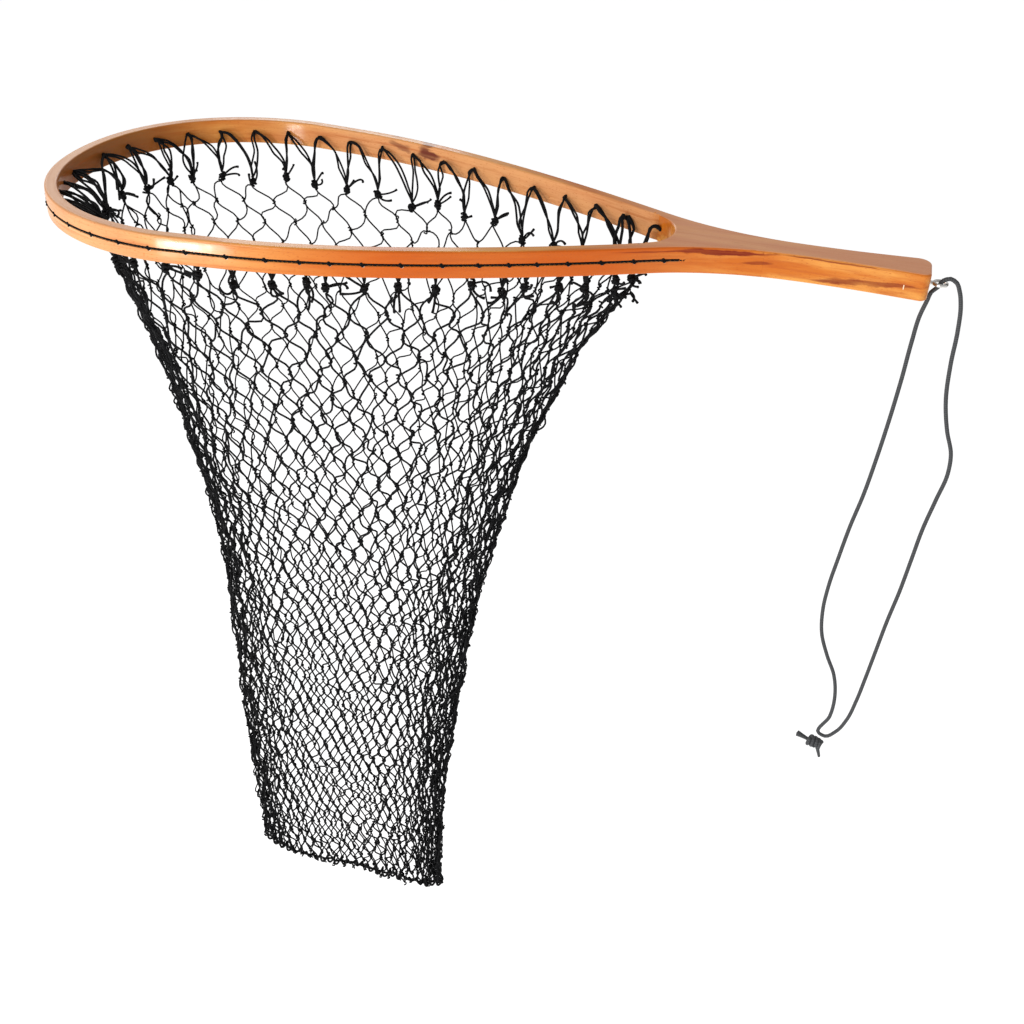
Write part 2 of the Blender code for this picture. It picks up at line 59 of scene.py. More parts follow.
# half the outside width at distances from the tip, past the widest place
FLANK = (
    (0.132, 0.1305), (0.204, 0.1216), (0.252, 0.1094), (0.300, 0.0926), (0.342, 0.0752),
    (0.378, 0.0587), (0.408, 0.0437), (0.444, 0.0258), (0.492, 0.0132), (0.540, 0.0113),
    (0.600, 0.0150),
)
SCARF_START = 0.416
TAIL_END = 0.4965           # where the strip has thinned away on the handle's flank
TAIL_EDGE = 0.00015
THROAT_END = 0.436
THROAT_RADIUS = 0.0310
THROAT_SWEEP = 1.0
JOINT_GAP = 0.00003
CORNERS = {-1: 0.0050, 1: 0.0085}   # butt corner radius on the near and the far side
CROWN = 0.0002              # how far the outer face's edges stand back from its middle
GROOVE_RADIUS = 0.0010
GROOVE_INSET = 0.0002
GROOVE_END = 0.5425
FACE_HEIGHTS = (0.0022, 0.0038, 0.0056)     # rows of points between the groove and the edge
HANDLE_JOIN = 0.490         # where the handle's grain takes up the strip's
HOLE_RADIUS = 0.0013
DRILL_MARGIN = 0.006        # how much longer a drill is than its hole
LAST_HOLE_ARC = 0.531
NEAR_SPACING, NEAR_HOLES = 0.0220, 24
FAR_SPACING, FAR_HOLES = 0.0280, 19
FAR_START = LAST_HOLE_ARC - 0.009
# the near holes lie unevenly: how far they crowd toward the handle, how far they wander and over
# how many holes, and how many of them do so, counted from the throat
NEAR_CROWD, NEAR_WANDER, NEAR_WANDER_COUNT, NEAR_UNEVEN = 0.0105, 0.0040, 6, 18
TIES = NEAR_HOLES + FAR_HOLES

LASHING_END = 0.541         # the arc at which the cord in the groove ends
LASHING_PITCH = 0.0058
LASHING_STRAND, LASHING_TURN, LASHING_FRAY = 0.00042, 0.00066, 0.00016     # radii
TIE_RADIUS = 0.00080
LONG_ENDS = 0.293           # the near tie this far from the tip keeps two long cut ends
THROAT_TIES = 0.38          # the ties this far from the tip are thicker and looser
THROAT_THICK = 1.35
TIE_WOBBLE = 0.0011         # how far a strand wanders from its smooth curve
UP = np.array((0.0, 0.0, 1.0))
# ranges: how far below the hoop the hitches hang, how far along it, and how far inside it
NEAR_DROP, FAR_DROP = (0.019, 0.026), (0.031, 0.040)
HITCH_SHIFT, HITCH_GAP = (-0.002, 0.005), (0.004, 0.009)
BIND_RISE = 0.0036          # from a hitch's middle to where its strands come together
# the turns that bind a hitch: how many, their radius, from where to where, how far they may lean
BINDINGS = (
    (2.8, 0.00165, -0.0034, 0.0034, 0.0), (1.9, 0.00215, -0.0020, 0.0018, 0.35),
    (1.2, 0.00190, -0.0012, 0.0012, 0.9),
)

BAG_TOP, BAG_BOTTOM = -0.026, -0.671
# height, the bag's tip end and throat end, from the hoop's tip
BAG_ENDS = (
    (-0.026, 0.0305, 0.4145), (-0.070, 0.0352, 0.3890), (-0.126, 0.0515, 0.3650),
    (-0.200, 0.0662, 0.3395), (-0.300, 0.0850, 0.3165), (-0.430, 0.0915, 0.2985),
    (-0.560, 0.0975, 0.2860), (-0.671, 0.1050, 0.2860),
)
# height, half the bag's width across the hoop
BAG_DEPTHS = (
    (-0.026, 0.1190), (-0.080, 0.1010), (-0.160, 0.0760), (-0.260, 0.0520),
    (-0.380, 0.0340), (-0.520, 0.0210), (-0.620, 0.0120), (-0.671, 0.0040),
)
ENDS_CROWD = 0.60           # how much the columns crowd at the oval's two ends
SECTION_EASE = 0.5          # how early the bag turns from the hoop's shape into a flat oval
# how far the bag draws its hitches away from the tip and from the throat
NEAR_PULL, NEAR_PULL_PLACE, NEAR_PULL_REACH = 0.026, 0.030, 0.045
FAR_PULL, FAR_PULL_REACH = 0.011, 0.020
THROAT_PULL, THROAT_PULL_PLACE, THROAT_PULL_REACH = 0.0140, 0.440, 0.024
# the columns of meshes that hang from each tie, in the ties' order: two from those at the ends
NEAR_COLUMNS = np.where((np.arange(NEAR_HOLES) < 4) | (np.arange(NEAR_HOLES) > 20), 2, 1)
FAR_COLUMNS = np.where((np.arange(FAR_HOLES) < 3) | (np.arange(FAR_HOLES) > 13), 2, 1)
COLUMN_TIES = np.repeat(np.arange(TIES), np.concatenate([NEAR_COLUMNS, FAR_COLUMNS]))
COLUMNS = len(COLUMN_TIES)
# height, one side of a mesh, knot to knot: the meshes get smaller down the bag
BARS = (
    (-0.026, 0.0222), (-0.120, 0.0208), (-0.200, 0.0184), (-0.270, 0.0168), (-0.420, 0.0150),
    (-0.671, 0.0142),
)
# height, half the width of a mesh
HALF_MESHES = ((-0.026, 0.0085), (-0.200, 0.0062), (-0.420, 0.0042), (-0.671, 0.0033))
ROW_SLACK = 0.90            # how much of a stretched mesh's height a row takes up
NET_RADIUS = 0.00084
# shares of that radius: bars and knots on the near side, and those on the far side
BAR_SHARES, KNOT_SHARES = (0.90, 0.76), (0.84, 0.74)
TOP_KNOT_DROP = 0.003       # from a hitch to the first knot of its column
UNEVEN = (0.15, 0.11, 0.15)     # how far knots stray from even rows, in bars
ROUGH_FROM, ROUGH_OVER, ROUGHER = -0.12, 0.20, 0.8   # lower down they stray further
TWINE_GIVE = 0.985          # how much of its bar's length a stretched bar may use
PULL_BACK = 0.06            # how strongly each pass draws the knots to their places
SWAY_LIMIT = 0.26           # how far a slack bar may bow, in bars
SWAY_ONCE, SWAY_TWICE = 0.90, 0.50     # how much of that goes into one bow, and into an S

EYE_RING = 0.0041
EYE_WIRE = 0.00115
EYE_GAP = 0.0016
EYE_Z = -0.0008
SHANK_DEPTH, SHANK_RADIUS = 0.012, 0.00125
THREAD_RADIUS, THREAD_TURNS = 0.00128, 8

CORD_RADIUS = 0.0014
LANYARD_ROUTE = (
    (-0.0042, -0.3830), (0.0010, -0.3640), (0.0012, -0.3420), (-0.0030, -0.3230),
    (-0.0110, -0.3060), (-0.0182, -0.2870), (-0.0212, -0.2650), (-0.0208, -0.2430),
    (-0.0182, -0.2170), (-0.0150, -0.1890), (-0.0108, -0.1620), (-0.0078, -0.1340),
    (-0.0052, -0.1030), (-0.0032, -0.0700), (-0.0022, -0.0420), (-0.0010, -0.0240),
    (0.0014, -0.0128), (0.0026, -0.0072), (0.0058, -0.0034), (0.0078, 0.0012), (0.0118, 0.0032),
    (0.0162, 0.0014), (0.0194, -0.0042), (0.0220, -0.0130), (0.0240, -0.0300),
    (0.0248, -0.0540), (0.0274, -0.0800), (0.0330, -0.1020), (0.0392, -0.1190),
    (0.0404, -0.1340), (0.0372, -0.1560), (0.0336, -0.1800), (0.0312, -0.2080),
    (0.0288, -0.2360), (0.0254, -0.2640), (0.0228, -0.2920), (0.0202, -0.3200),
    (0.0176, -0.3440), (0.0140, -0.3640), (0.0080, -0.3780), (0.0008, -0.3848),
)
RING_POINT = 19              # the route's point inside the ring
KNOT = np.array((BUTT_X - 0.0062, 0.0, -0.3925))
# the knot's wraps: from where to where along it, radius, turns, phase, the cord's radius
KNOT_WRAPS = (
    (-0.0052, 0.0015, 0.0034, 2.2, 0.6, 0.00155), (0.0010, 0.0062, 0.0031, 1.4, 2.4, 0.00150),
    (-0.0030, 0.0050, 0.0012, 0.9, 4.0, 0.00150),
)

CAMERA_PLACE = (0.0408, -0.8124, 0.3117)
CAMERA_YAW, CAMERA_PITCH, CAMERA_ROLL = -14.09, 32.92, 2.91
CAMERA_LENS, CAMERA_SENSOR = 45.70, 36.0
FLOOR_Z, FLOOR_REACH = -1.05, 30.0
WORLD_LIGHT = 0.52
# name, place, target, width and height, power
LAMPS = (
    ("key", (-0.9, -1.8, 0.55), (-0.2, 0.0, -0.1), (1.3, 1.3), 26.0),
    ("back_tip", (-1.45, 1.15, 0.50), (-0.45, 0.0, 0.0), (0.70, 0.50), 2.0),
    ("back_side", (-0.82, 1.25, 0.56), (-0.25, -0.1, 0.0), (0.44, 0.40), 2.4),
    ("low_front", (-0.76, -1.37, -0.445), (-0.345, -0.13, 0.006), (0.22, 0.045), 6.0),
)


# ---------------------------------------------------------------- camera


def build_camera():
    camera = bpy.data.objects.new("camera", bpy.data.cameras.new("camera"))
    bpy.context.scene.collection.objects.link(camera)
    camera.data.sensor_width = CAMERA_SENSOR
    camera.data.lens = CAMERA_LENS
    yaw, pitch, roll = (math.radians(a) for a in (CAMERA_YAW, CAMERA_PITCH, CAMERA_ROLL))
    ahead = Vector((math.sin(yaw) * math.cos(pitch), math.cos(yaw) * math.cos(pitch),
                    -math.sin(pitch)))
    level = Vector((math.cos(yaw), -math.sin(yaw), 0.0))
    lift = level.cross(ahead)
    right = level * math.cos(roll) + lift * math.sin(roll)
    up = lift * math.cos(roll) - level * math.sin(roll)
    turn = Matrix((right, up, -ahead)).transposed().to_4x4()
    camera.matrix_world = Matrix.Translation(CAMERA_PLACE) @ turn
    bpy.context.scene.camera = camera


# ---------------------------------------------------------------- curves and meshes


def arc_lengths(path):
    return np.concatenate([[0.0], np.cumsum(np.linalg.norm(np.diff(path, axis=0), axis=1))])


def resample(path, count):
    path = np.asarray(path, float)
    run = arc_lengths(path)
    even = np.linspace(0.0, run[-1], count)
    return np.stack([np.interp(even, run, path[:, i]) for i in range(path.shape[1])], axis=1)


def hermite(x, y, slope, at):
    """Cubic curve through (x, y) with these slopes, at the given places."""
    i = np.clip(np.searchsorted(x, at, side="right") - 1, 0, len(x) - 2)
    width = x[i + 1] - x[i]
    t = np.clip((at - x[i]) / width, 0.0, 1.0)
    if y.ndim > 1:
        t, width = t[:, None], width[:, None]
    start = y[i] * (1 + 2 * t) * (1 - t) ** 2 + slope[i] * width * t * (1 - t) ** 2
    return start + y[i + 1] * t * t * (3 - 2 * t) + slope[i + 1] * width * t * t * (t - 1)


def smooth_path(points, count):
    """Evenly spaced points on a smooth curve through the given ones."""
    knots = np.array(points, float)
    at = arc_lengths(knots)
    fine = np.linspace(0.0, at[-1], 40 * len(knots))
    return resample(hermite(at, knots, np.gradient(knots, at, axis=0), fine), count)


def table_value(table, at, column=1):
    rows = np.array(sorted(table), float)
    x, y = rows[:, 0], rows[:, column]
    return hermite(x, y, np.gradient(y, x), np.asarray(at, float))


def unit(v):
    v = np.asarray(v, float)
    return v / np.maximum(np.linalg.norm(v, axis=-1, keepdims=True), 1e-12)


def make_mesh(name, points, faces, uvs=None):
    mesh = bpy.data.meshes.new(name)
    points, faces = np.asarray(points, np.float32), np.asarray(faces, np.int32)
    mesh.vertices.add(len(points))
    mesh.vertices.foreach_set("co", points.ravel())
    mesh.loops.add(faces.size)
    mesh.loops.foreach_set("vertex_index", faces.ravel())
    mesh.polygons.add(len(faces))
    mesh.polygons.foreach_set("loop_start", np.arange(0, faces.size, faces.shape[1], dtype=np.int32))
    mesh.update(calc_edges=True)
    if uvs is not None:
        layer = mesh.uv_layers.new(name="strand")
        layer.uv.foreach_set("vector", np.asarray(uvs, np.float32).ravel())
    mesh.validate()
    return mesh


def add_object(name, mesh, look=None):
    made = bpy.data.objects.new(name, mesh)
    bpy.context.scene.collection.objects.link(made)
    if look:
        mesh.materials.append(look)
    return made


def object_from(shape, name, look=None):
    """Turn a bmesh into an object."""
    mesh = bpy.data.meshes.new(name)
    shape.to_mesh(mesh)
    shape.free()
    return add_object(name, mesh, look)


def stand_for(made, body, node):
    """Tie a piece to its body, and hide the CAD node that it replaces."""
    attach(made, body)
    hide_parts(node)


def circling(angle, radius, one, two):
    """Steps round a circle in the plane of two directions."""
    return np.outer(radius * np.cos(angle), one) + np.outer(radius * np.sin(angle), two)


CAP_REACH, CAP_TAPER = 0.35, 0.08       # a strand's end, in radii
OFF_AXIS = (0.31, 0.87, 0.38)           # no strand sets off along this


class Strands:
    """Gathers round strands, then builds them as one mesh. Its UVs run along and round each strand."""

    def __init__(self):
        self.points, self.faces, self.uvs, self.count = [], [], [], 0

    def add(self, path, radius, sides=6, capped=True):
        path = np.asarray(path, float)
        radii = np.broadcast_to(np.asarray(radius, float), (len(path),)).copy()
        if capped:
            tip = CAP_REACH * radii[[0, -1]][:, None] * unit(path[[0, -1]] - path[[1, -2]])
            path = np.concatenate([[path[0] + tip[0]], path, [path[-1] + tip[1]]])
            radii = np.concatenate([[radii[0] * CAP_TAPER], radii, [radii[-1] * CAP_TAPER]])
        along = unit(np.gradient(path, axis=0))
        across = np.empty_like(path)
        last = unit(np.cross(along[0], OFF_AXIS))
        for i, ahead in enumerate(along):
            last = last - ahead * (last @ ahead)
            last = last / max(math.sqrt(last @ last), 1e-12)
            across[i] = last
        other = np.cross(along, across)
        turn = np.arange(sides) * (2 * math.pi / sides)
        ring = across[:, None] * np.cos(turn)[:, None] + other[:, None] * np.sin(turn)[:, None]
        points = path[:, None] + ring * radii[:, None, None]
        n = len(path)
        i, j = np.meshgrid(np.arange(n - 1), np.arange(sides), indexing="ij")
        after = (j + 1) % sides
        quads = np.stack([i * sides + j, (i + 1) * sides + j, (i + 1) * sides + after,
                          i * sides + after], axis=-1).reshape(-1, 4)
        run = arc_lengths(path)
        v0, v1 = j / sides, (j + 1) / sides
        uv = np.stack([np.stack([run[i], v0], -1), np.stack([run[i + 1], v0], -1),
                       np.stack([run[i + 1], v1], -1), np.stack([run[i], v1], -1)], axis=2)
        self.points.append(points.reshape(-1, 3))
        self.faces.append(quads + self.count)
        self.uvs.append(uv.reshape(-1, 2))
        self.count += n * sides

    def build(self, name, look):
        mesh = make_mesh(name, np.concatenate(self.points), np.concatenate(self.faces),
                         np.concatenate(self.uvs))
        mesh.shade_smooth()
        return add_object(name, mesh, look)


def apply_modifiers(made):
    """Replace the object's mesh with its modified one."""
    bpy.context.view_layer.update()
    done = bpy.data.meshes.new_from_object(made.evaluated_get(bpy.context.evaluated_depsgraph_get()))
    made.modifiers.clear()
    made.data = done


# ---------------------------------------------------------------- materials


class Graph:
    """A short way to wire one material."""

    def __init__(self, name):
        self.material = bpy.data.materials.new(name)
        self.material.use_nodes = True
        self.tree = self.material.node_tree
        self.shader = self.tree.nodes["Principled BSDF"]

    def put(self, value, socket):
        if isinstance(value, bpy.types.NodeSocket):
            self.tree.links.new(value, socket)
        elif hasattr(socket.default_value, "__len__") and not hasattr(value, "__len__"):
            socket.default_value = (value,) * len(socket.default_value)
        else:
            socket.default_value = value

    def node(self, kind, inputs=(), **settings):
        made = self.tree.nodes.new(kind)
        for key, value in settings.items():
            setattr(made, key, value)
        for key, value in dict(inputs).items():
            self.put(value, made.inputs[key])
        return made

    def math(self, operation, *values):
        return self.node("ShaderNodeMath", enumerate(values), operation=operation).outputs[0]

    def times(self, *values):
        product = values[0]
        for value in values[1:]:
            product = self.math("MULTIPLY", product, value)
        return product

    def less(self, first, second):
        return self.math("SUBTRACT", first, second)

    def split(self, vector):
        return self.node("ShaderNodeSeparateXYZ", {0: vector}).outputs

    def attribute(self, name, output="Fac"):
        return self.node("ShaderNodeAttribute", attribute_name=name).outputs[output]

    def coords(self, kind="Object"):
        return self.node("ShaderNodeTexCoord").outputs[kind]

    def strand_coords(self):
        """How far a point lies along its strand, and how far round it."""
        return self.split(self.node("ShaderNodeUVMap", uv_map="strand").outputs[0])[:2]

    def scaled(self, vector, scale, shift=(0.0, 0.0, 0.0)):
        inputs = {"Vector": vector, "Scale": scale, "Location": shift}
        return self.node("ShaderNodeMapping", inputs).outputs[0]

    def noise(self, vector, detail=3.0, roughness=0.55):
        inputs = {"Vector": vector, "Scale": 1.0, "Detail": detail, "Roughness": roughness}
        return self.node("ShaderNodeTexNoise", inputs).outputs["Fac"]

    def speckle(self, frequency, detail=3.0):
        return self.noise(self.scaled(self.coords(), (frequency,) * 3), detail)

    def ease(self, value, low, high, to_low=0.0, to_high=1.0):
        inputs = {"Value": value, 1: low, 2: high, 3: to_low, 4: to_high}
        return self.node("ShaderNodeMapRange", inputs, interpolation_type="SMOOTHSTEP").outputs[0]

    def mix(self, factor, first, second):
        made = self.node("ShaderNodeMix", data_type="RGBA")
        self.put(factor, made.inputs[0])
        for socket, value in ((made.inputs[6], first), (made.inputs[7], second)):
            self.put((*value, 1.0) if isinstance(value, tuple) else value, socket)
        return made.outputs[2]

    def bump(self, height, distance, strength=1.0):
        inputs = {"Height": height, "Distance": distance, "Strength": strength}
        self.put(self.node("ShaderNodeBump", inputs).outputs[0], self.shader.inputs["Normal"])

    def surface(self, **values):
        for key, value in values.items():
            self.put(value, self.shader.inputs[key.replace("_", " ")])
        return self.material


TWINE_DARK, TWINE_PALE = (0.0030, 0.0030, 0.0035), (0.010, 0.010, 0.011)
TWINE_PITCH, TWINE_PLIES = 0.0042, 3
SHEATH_DARK, SHEATH_PALE = (0.018, 0.019, 0.021), (0.085, 0.088, 0.092)
BRAID_PITCH, BRAID_YARNS = 0.0030, 6
NICKEL, NICKEL_WORN = (0.74, 0.72, 0.69), (0.46, 0.42, 0.37)
WOOD_PALE = (0.70, 0.300, 0.062)
WOOD_MID = (0.55, 0.150, 0.014)
WOOD_DEEP = (0.42, 0.085, 0.010)
HOOP_WARM = (0.50, 0.082, 0.002)
FLAME = (0.40, 0.065, 0.003)
INNER_TONE = (0.66, 0.310, 0.130)
# the next three colours are painted light: a sheen on the outer face toward the tip, a sheen on the flat
# top, and shade on the inner face at the tip
TIP_PAINTED_SHEEN = (0.70, 0.370, 0.175)
TOP_PAINTED_SHEEN = (0.80, 0.400, 0.230)
TIP_PAINTED_SHADE = (0.26, 0.085, 0.018)
STAIN = (0.170, 0.008, 0.0)
DARK_STAIN = (0.100, 0.010, 0.008)
# stains in the wood: side (+1 far, -1 near), distance from tip, height, half length, half height,
# rise along the length, strength
STAINS = (
    (-1, 0.470, 0.0063, 0.034, 0.0018, 0.02, 1.0), (-1, 0.493, 0.0004, 0.010, 0.0014, 0.05, 0.75),
    (-1, 0.540, 0.0077, 0.034, 0.0006, 0.00, 0.8), (-1, 0.566, -0.0022, 0.036, 0.0016, 0.09, 0.7),
    (-1, 0.545, -0.0035, 0.015, 0.0020, 0.10, 0.5), (-1, 0.430, 0.0060, 0.026, 0.0005, -0.02, 0.6),
    (1, 0.207, 0.0040, 0.010, 0.0040, -0.2, 0.6), (1, 0.232, 0.0035, 0.009, 0.0058, -0.2, 0.9),
)
NICK = (0.5846, -0.0012, 0.00035, 0.0016)   # from the tip, height, half length, half height
NICK_TONE, RIM_TONE = (0.90, 0.70, 0.48), (0.92, 0.78, 0.62)
RIM_ASIDE, RIM_BELOW = 0.0006, 0.0007   # where a hole's pale rim lies from its middle
INNER_FACE = (0.0075, 0.0088)       # the depth over which the hoop's inner face begins


class WoodGraph(Graph):
    """The wood's graph, with where each point lies in the part and in its grain."""

    def __init__(self):
        super().__init__("varnished_wood")
        self.grain = self.attribute("grain", "Vector")
        self.depth, self.height = self.split(self.grain)[1:]
        self.x, self.y, self.z = self.split(self.coords())
        self.from_tip = self.less(self.x, TIP_X)
        self.on_top = self.ease(self.math("ABSOLUTE", self.split(self.coords("Normal"))[2]), 0.70, 0.90)
        self.sheen_calm = self.less(1.0, self.times(self.on_top, 0.65))
        # painted sheen: the grain shows less on the flat top
        self.in_hoop = self.attribute("strip")
        self.inner = self.times(self.ease(self.depth, *INNER_FACE), self.in_hoop)
        self.bands = self.noise(self.scaled(self.grain, (14.0, 420.0, 420.0)), 5.0, 0.6)
        self.fibres = self.noise(self.scaled(self.grain, (90.0, 2400.0, 2400.0)), 2.0)

    def ellipse(self, x, z, half_x, half_z):
        """How far a point lies from a place on the wood's side, in half lengths and half heights."""
        across = self.math("ABSOLUTE", self.math("DIVIDE", self.less(self.x, TIP_X + x), half_x))
        return across, self.math("ABSOLUTE", self.math("DIVIDE", self.less(self.z, z), half_z))


def wood_look():
    g = WoodGraph()
    fleck = wood_flecks(g)
    colour = figured(g, toned(g), fleck)
    colour = rimmed(g, nicked(g, stained(g, colour)))
    g.bump(g.less(g.times(g.fibres, 0.6), g.times(fleck, 0.5)), 0.00006, 0.5)
    return g.surface(Base_Color=colour, Roughness=g.ease(g.bands, 0.3, 0.7, 0.34, 0.46),
                     Specular_IOR_Level=0.08, Coat_Weight=g.ease(g.inner, 0.0, 1.0, 0.32, 0.14),
                     Coat_Roughness=g.ease(g.speckle(60.0), 0.3, 0.7, 0.10, 0.20), Coat_IOR=1.5)


def toned(g):
    """The wood's tones: paler inside the hoop and warm along the hoop's outer face, with a painted sheen
    that pales the outer face toward the tip and painted shade on the inner face at the tip.
    """
    broad = g.noise(g.scaled(g.grain, (9.0, 60.0, 70.0)), 4.0)
    colour = g.mix(g.ease(broad, 0.40, 0.62), WOOD_MID, WOOD_PALE)
    outer = g.times(g.less(1.0, g.inner), g.in_hoop)
    # painted sheen: the outer face pales toward the tip
    colour = g.mix(g.times(g.ease(g.from_tip, 0.25, 0.06, 0.0, 0.75), outer), colour, TIP_PAINTED_SHEEN)
    flank = g.times(g.ease(g.depth, 0.005, 0.0085, 1.0, 0.0), g.less(1.0, g.on_top))
    warm = g.times(g.ease(g.from_tip, 0.14, 0.28, 0.0, 0.85), flank,
                   g.ease(g.from_tip, 0.40, 0.530, 1.0, 0.0))
    colour = g.mix(warm, colour, HOOP_WARM)
    pale_inside = g.times(g.ease(g.from_tip, 0.055, 0.19, 0.10, 0.85), g.inner)
    colour = g.mix(pale_inside, colour, INNER_TONE)
    # painted shade on the inner face at the tip
    shade = g.times(g.ease(g.from_tip, 0.070, 0.008, 0.0, 0.90), g.inner)
    return g.mix(shade, colour, TIP_PAINTED_SHADE)


def wood_flecks(g):
    """Short pores: where one lies, and how strong it is."""
    cells = g.node("ShaderNodeTexVoronoi", {"Vector": g.scaled(g.grain, (330.0, 1500.0, 1300.0)),
                                            "Scale": 1.0}).outputs
    return g.times(g.ease(cells["Distance"], 0.16, 0.30, 1.0, 0.0),
                   g.ease(g.split(cells["Color"])[0], 0.40, 0.70))


def figured(g, colour, fleck):
    """The grain's flames, bands, fibres and flecks, all muted on the flat top under a painted sheen,
    which also pales the top toward the handle.
    """
    flames = g.noise(g.scaled(g.grain, (20.0, 210.0, 190.0), (5.0, 2.0, 1.0)), 4.0)
    by_handle = g.ease(g.from_tip, 0.40, 0.47, 0.12, 0.75)
    colour = g.mix(g.times(g.ease(flames, 0.50, 0.68), by_handle, g.sheen_calm, 0.6), colour, FLAME)
    # painted sheen on the flat top, paler toward the handle
    colour = g.mix(g.times(g.on_top, g.ease(g.from_tip, 0.36, 0.46, 0.0, 0.6)), colour, TOP_PAINTED_SHEEN)
    for mark in (g.ease(g.bands, 0.48, 0.72, 0.0, 0.50), g.ease(g.fibres, 0.50, 0.75, 0.0, 0.28),
                 g.times(fleck, 0.6)):
        colour = g.mix(g.times(mark, g.sheen_calm), colour, WOOD_DEEP)
    return colour


def nicked(g, colour):
    """A small pale nick near the butt, on the near side."""
    nick = g.ease(g.math("MAXIMUM", *g.ellipse(*NICK)), 0.7, 1.1, 0.9, 0.0)
    return g.mix(g.times(nick, g.ease(g.y, 0.0, -0.002, 0.0, 1.0)), colour, NICK_TONE)


def stained(g, colour):
    """The wood's colour with its dark streaks and knots."""
    wander = g.noise(g.scaled(g.grain, (70.0, 300.0, 260.0), (3.0, 1.0, 2.0)), 4.0)
    slow = g.noise(g.scaled(g.grain, (26.0, 90.0, 90.0), (1.0, 4.0, 2.0)))
    drift, sway = g.less(wander, 0.5), g.less(slow, 0.5)
    for side, x, z, half_x, half_z, rise, strength in STAINS:
        dx = g.less(g.x, TIP_X + x)
        dz = g.less(g.less(g.z, z), g.times(dx, rise))
        dz = g.math("ADD", dz, g.times(drift, 2.6 * half_z))
        dz = g.math("ADD", dz, g.times(sway, 2.2 * half_z))
        dx = g.math("ADD", dx, g.times(drift, 0.9 * half_x))
        u, v = (g.math("POWER", g.math("DIVIDE", away, half), 2.0)
                for away, half in ((dx, half_x), (g.math("ABSOLUTE", dz), half_z)))
        spot = g.ease(g.math("ADD", u, v), 0.30, 1.35, strength, 0.0)
        there = g.ease(g.y, 0.0, 0.002 * side, 0.0, 1.0)
        streak = g.times(spot, there, g.ease(g.bands, 0.28, 0.60, 0.72, 1.0))
        colour = g.mix(streak, colour, STAIN if side < 0 else DARK_STAIN)
    return colour


def rimmed(g, colour):
    """The wood's colour with a pale spot at the lower edge of each tie hole."""
    arc = g.attribute("even_arc")
    for spacing, first, sign in ((NEAR_SPACING, LAST_HOLE_ARC, -1.0), (FAR_SPACING, FAR_START, 1.0)):
        signed = g.times(arc, sign)
        shifted = g.math("ADD", signed, spacing / 2 - first - RIM_ASIDE + 60 * spacing)
        off = g.less(g.math("MODULO", shifted, spacing), spacing / 2)
        below = g.math("ADD", g.height, RIM_BELOW)
        far = g.math("SQRT", g.math("ADD", g.math("POWER", off, 2.0), g.math("POWER", below, 2.0)))
        rim = g.times(g.ease(far, 0.0008, HOLE_RADIUS, 0.70, 0.0),
                      g.ease(g.depth, 0.004, 0.002, 0.0, 1.0), g.ease(signed, 0.0, 0.001, 0.0, 1.0),
                      g.ease(signed, first + 0.005, first + 0.006, 1.0, 0.0))
        colour = g.mix(rim, colour, RIM_TONE)
    return colour


def twine_look(name, dark, pale, pitch, ply):
    """Twisted twine: its plies show as slanting ridges round the strand."""
    g = Graph(name)
    along, around = g.strand_coords()
    phase = g.math("ADD", g.times(along, 2 * math.pi * ply / pitch), g.times(around, 2 * math.pi * ply))
    ridge = g.math("ABSOLUTE", g.math("SINE", g.times(phase, 0.5)))
    fuzz = g.speckle(2600.0, 2.0)
    tone = g.times(ridge, g.ease(fuzz, 0.3, 0.75, 0.3, 1.0))
    g.bump(g.math("ADD", ridge, g.times(fuzz, 0.3)), 0.00022, 0.8)
    return g.surface(Base_Color=g.mix(tone, dark, pale), Roughness=g.ease(fuzz, 0.2, 0.8, 0.60, 0.85),
                     Specular_IOR_Level=0.10)


def braid_look():
    """A round woven sheath: two sets of yarns crossing round the cord."""
    g = Graph("lanyard_sheath")
    along, around = g.strand_coords()
    run = g.times(along, 2 * math.pi / BRAID_PITCH)
    turn = g.times(around, 2 * math.pi * BRAID_YARNS)
    weave = g.times(g.math("SINE", g.math("ADD", run, turn)), g.math("SINE", g.less(run, turn)))
    fuzz = g.speckle(1800.0, 2.0)
    tone = g.math("ADD", g.ease(weave, -0.6, 0.9, 0.0, 0.7), g.times(fuzz, 0.35))
    g.bump(g.math("ADD", weave, g.times(fuzz, 0.4)), 0.00012, 0.7)
    return g.surface(Base_Color=g.mix(tone, SHEATH_DARK, SHEATH_PALE),
                     Roughness=g.ease(fuzz, 0.2, 0.8, 0.55, 0.75), Specular_IOR_Level=0.35)


def nickel_look():
    g = Graph("nickel_wire")
    worn = g.speckle(420.0, 4.0)
    g.bump(worn, 0.00005, 0.4)
    return g.surface(Base_Color=g.mix(g.ease(worn, 0.45, 0.75), NICKEL, NICKEL_WORN), Metallic=1.0,
                     Roughness=g.ease(worn, 0.3, 0.7, 0.14, 0.34))


# ---------------------------------------------------------------- lanyard


def lanyard_path():
    """From inside the ring down one side, through the knot and up the other side to the ring."""
    down = LANYARD_ROUTE[RING_POINT::-1]
    up = LANYARD_ROUTE[:RING_POINT - 1:-1]
    route = [(BUTT_X + past, 0.0, height) for past, height in down + up]
    return smooth_path(route, 320)


def build_lanyard(sheath):
    path = lanyard_path()
    strand = Strands()
    strand.add(path, CORD_RADIUS, sides=12)
    cord = strand.build("lanyard_loop", sheath)
    knot = build_lanyard_knot(sheath)
    stand_for(cord, "lanyard", "lanyard_cord")
    stand_for(knot, "lanyard", "lanyard_knot")


